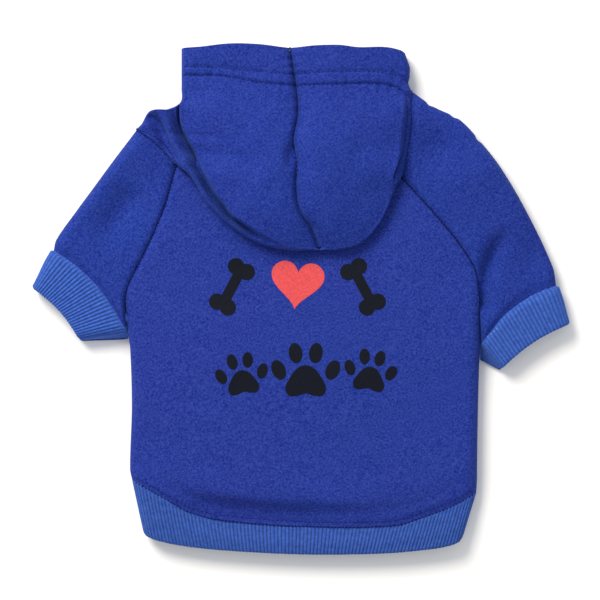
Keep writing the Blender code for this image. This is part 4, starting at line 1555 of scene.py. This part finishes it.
def bone_shape():
    """Dog bone, 2 long."""
    reach, apart, knob, bar = 0.66, 0.20, 0.27, 0.17
    join = math.atan2(bar - apart, -math.sqrt(knob**2 - (bar - apart) ** 2))
    notch = math.atan2(-apart, math.sqrt(knob**2 - apart**2))
    arc = np.linspace(join + 2 * math.pi, notch, 22)
    corner = complex(reach, apart) + knob * np.exp(1j * arc)
    right = np.concatenate([corner, np.conj(corner[::-1])[1:]])
    return [np.concatenate([right, -right])[::-1]]


# Outline of a paw's big pad, right half from the top, in half widths of the print
PAW_PAD = ((0.0, 0.30), (0.26, 0.20), (0.46, -0.06), (0.60, -0.36), (0.50, -0.60), (0.24, -0.60), (0.0, -0.53))


def paw_shape():
    """Paw print, about 2 across: one pad and four toes."""
    half = [complex(x, y) for x, y in PAW_PAD]
    pad = np.array(half + [-p.conjugate() for p in half[-2:0:-1]])
    pad = np.concatenate([pad[-2:], pad, pad[:3]])
    shapes = [glide(np.arange(len(pad)), pad, np.linspace(2, len(pad) - 3, 60, endpoint=False))]
    for x, y, lean in ((-0.80, 0.16, 0.42), (-0.30, 0.66, 0.14), (0.30, 0.66, -0.14), (0.80, 0.16, -0.42)):
        toe = 0.20 * np.cos(ring_of(32)) + 0.30j * np.sin(ring_of(32))
        shapes.append(toe * np.exp(1j * lean) + complex(x, y))
    return shapes


def ink_print(name, motifs, ink):
    """Film of ink on the back: each motif is its shapes, place in millimetres, half width and turn in degrees."""
    on_top = sight(back)
    points, faces = [], []
    for shapes, x, y, half, turn in motifs:
        for shape in shapes:
            edge = complex(x, y) / 1000 + shape * half / 1000 * np.exp(1j * math.radians(turn))
            xs = np.arange(edge.real.min(), edge.real.max(), INK_STEP)
            ys = np.arange(edge.imag.min(), edge.imag.max(), INK_STEP)
            inner = (xs[:, None] + 1j * ys[None, :]).ravel()
            plan = [Vector((p.real, p.imag)) for p in np.concatenate([edge, inner])]
            count = len(edge)
            ring = [(i, (i + 1) % count) for i in range(count)]
            spots, _, triangles, *_ = delaunay_2d_cdt(plan, ring, [], 1, 1e-7)
            laid = on_top(np.array([complex(*v) for v in spots]), INK_FILM)
            first, many = len(points), len(spots)
            points += laid + [(a, b, c - 2 * INK_FILM) for a, b, c in laid]
            sides = {}
            for a, b, c in triangles:
                faces.append((first + a, first + b, first + c))
                faces.append((first + many + c, first + many + b, first + many + a))
                for one, two in ((a, b), (b, c), (c, a)):
                    sides[(one, two)] = True
            for one, two in sides:
                if (two, one) not in sides:
                    faces.append((first + two, first + one, first + many + one, first + many + two))
    mesh = bpy.data.meshes.new(name)
    mesh.from_pydata(points, [], faces)
    solid = bmesh.new()
    solid.from_mesh(mesh)
    loose = [v for v in solid.verts if not v.link_faces]
    bmesh.ops.delete(solid, geom=loose, context="VERTS")
    bmesh.ops.recalc_face_normals(solid, faces=solid.faces)
    solid.to_mesh(mesh)
    solid.free()
    film = smooth_piece(name, mesh, ink)
    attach(film, "root")


def ink_material(name, colour):
    """Matt plastisol ink with the cloth's grain showing through."""
    return cloth_material(name, pile, INK_SHINE, Colour=(*colour, 1), Fleck_contrast=0.9, Nap_height=0.0004)


black_motifs = [
    (bone_shape(), -42.0, 112.0, 17.5, 62), (bone_shape(), 33.5, 112.0, 17.5, -62),
    (paw_shape(), -36.0, 59.5, 15.0, 8), (paw_shape(), 0.5, 61.0, 19.5, 0), (paw_shape(), 37.5, 61.5, 15.0, -8),
]
ink_print("print_black", black_motifs, ink_material("black_ink", INK_BLACK))
ink_print("print_coral", [(heart_shape(), -4.5, 113.0, 15.8, -6)], ink_material("coral_ink", INK_CORAL))

# Studio
# A pale table seen from straight above, under an even white sky and one large soft lamp up and to the left.
TABLE_REACH = 3.0
SKY_COLOUR = (0.965, 0.985, 1.0, 1)
SKY_STRENGTH = 0.70
LAMP_WIDTH = 0.9
LAMP_ENERGY = 36.0
LAMP_COLOUR = (1.0, 0.93, 0.84)
LAMP_PLACE = (-0.75, 1.05, 1.15)
VIEW_HEIGHT = 1.6
VIEW_WIDTH = 0.3458
VIEW_PLACE = (-0.0006, 0.0003, VIEW_HEIGHT)
SENSOR = 36.0

table_mesh = bpy.data.meshes.new("floor")
corners = [(x * TABLE_REACH, y * TABLE_REACH, 0) for x, y in ((-1, -1), (1, -1), (1, 1), (-1, 1))]
table_mesh.from_pydata(corners, [], [(0, 1, 2, 3)])
pale, _ = plain_material("pale_table", Base_Color=(0.93, 0.93, 0.93, 1), Roughness=0.9, Specular_IOR_Level=0.1)
table_mesh.materials.append(pale)
floor = put("floor", table_mesh)

sky = bpy.data.worlds.new("sky")
sky.use_nodes = True
sky.node_tree.nodes["Background"].inputs["Color"].default_value = SKY_COLOUR
sky.node_tree.nodes["Background"].inputs["Strength"].default_value = SKY_STRENGTH
bpy.context.scene.world = sky

lamp_data = bpy.data.lights.new("soft_lamp", "AREA")
lamp_data.shape = "DISK"
lamp_data.size = LAMP_WIDTH
lamp_data.energy = LAMP_ENERGY
lamp_data.color = LAMP_COLOUR
lamp = put("soft_lamp", lamp_data)
lamp.location = LAMP_PLACE
lamp.rotation_euler = (-lamp.location).to_track_quat("-Z", "Y").to_euler()

lens = bpy.data.cameras.new("camera")
lens.sensor_width = SENSOR
lens.lens = SENSOR * (VIEW_HEIGHT - LAY_HEIGHT) / VIEW_WIDTH
camera = put("camera", lens)
camera.location = VIEW_PLACE
bpy.context.scene.camera = camera
bpy.context.scene.view_settings.view_transform = "Standard"
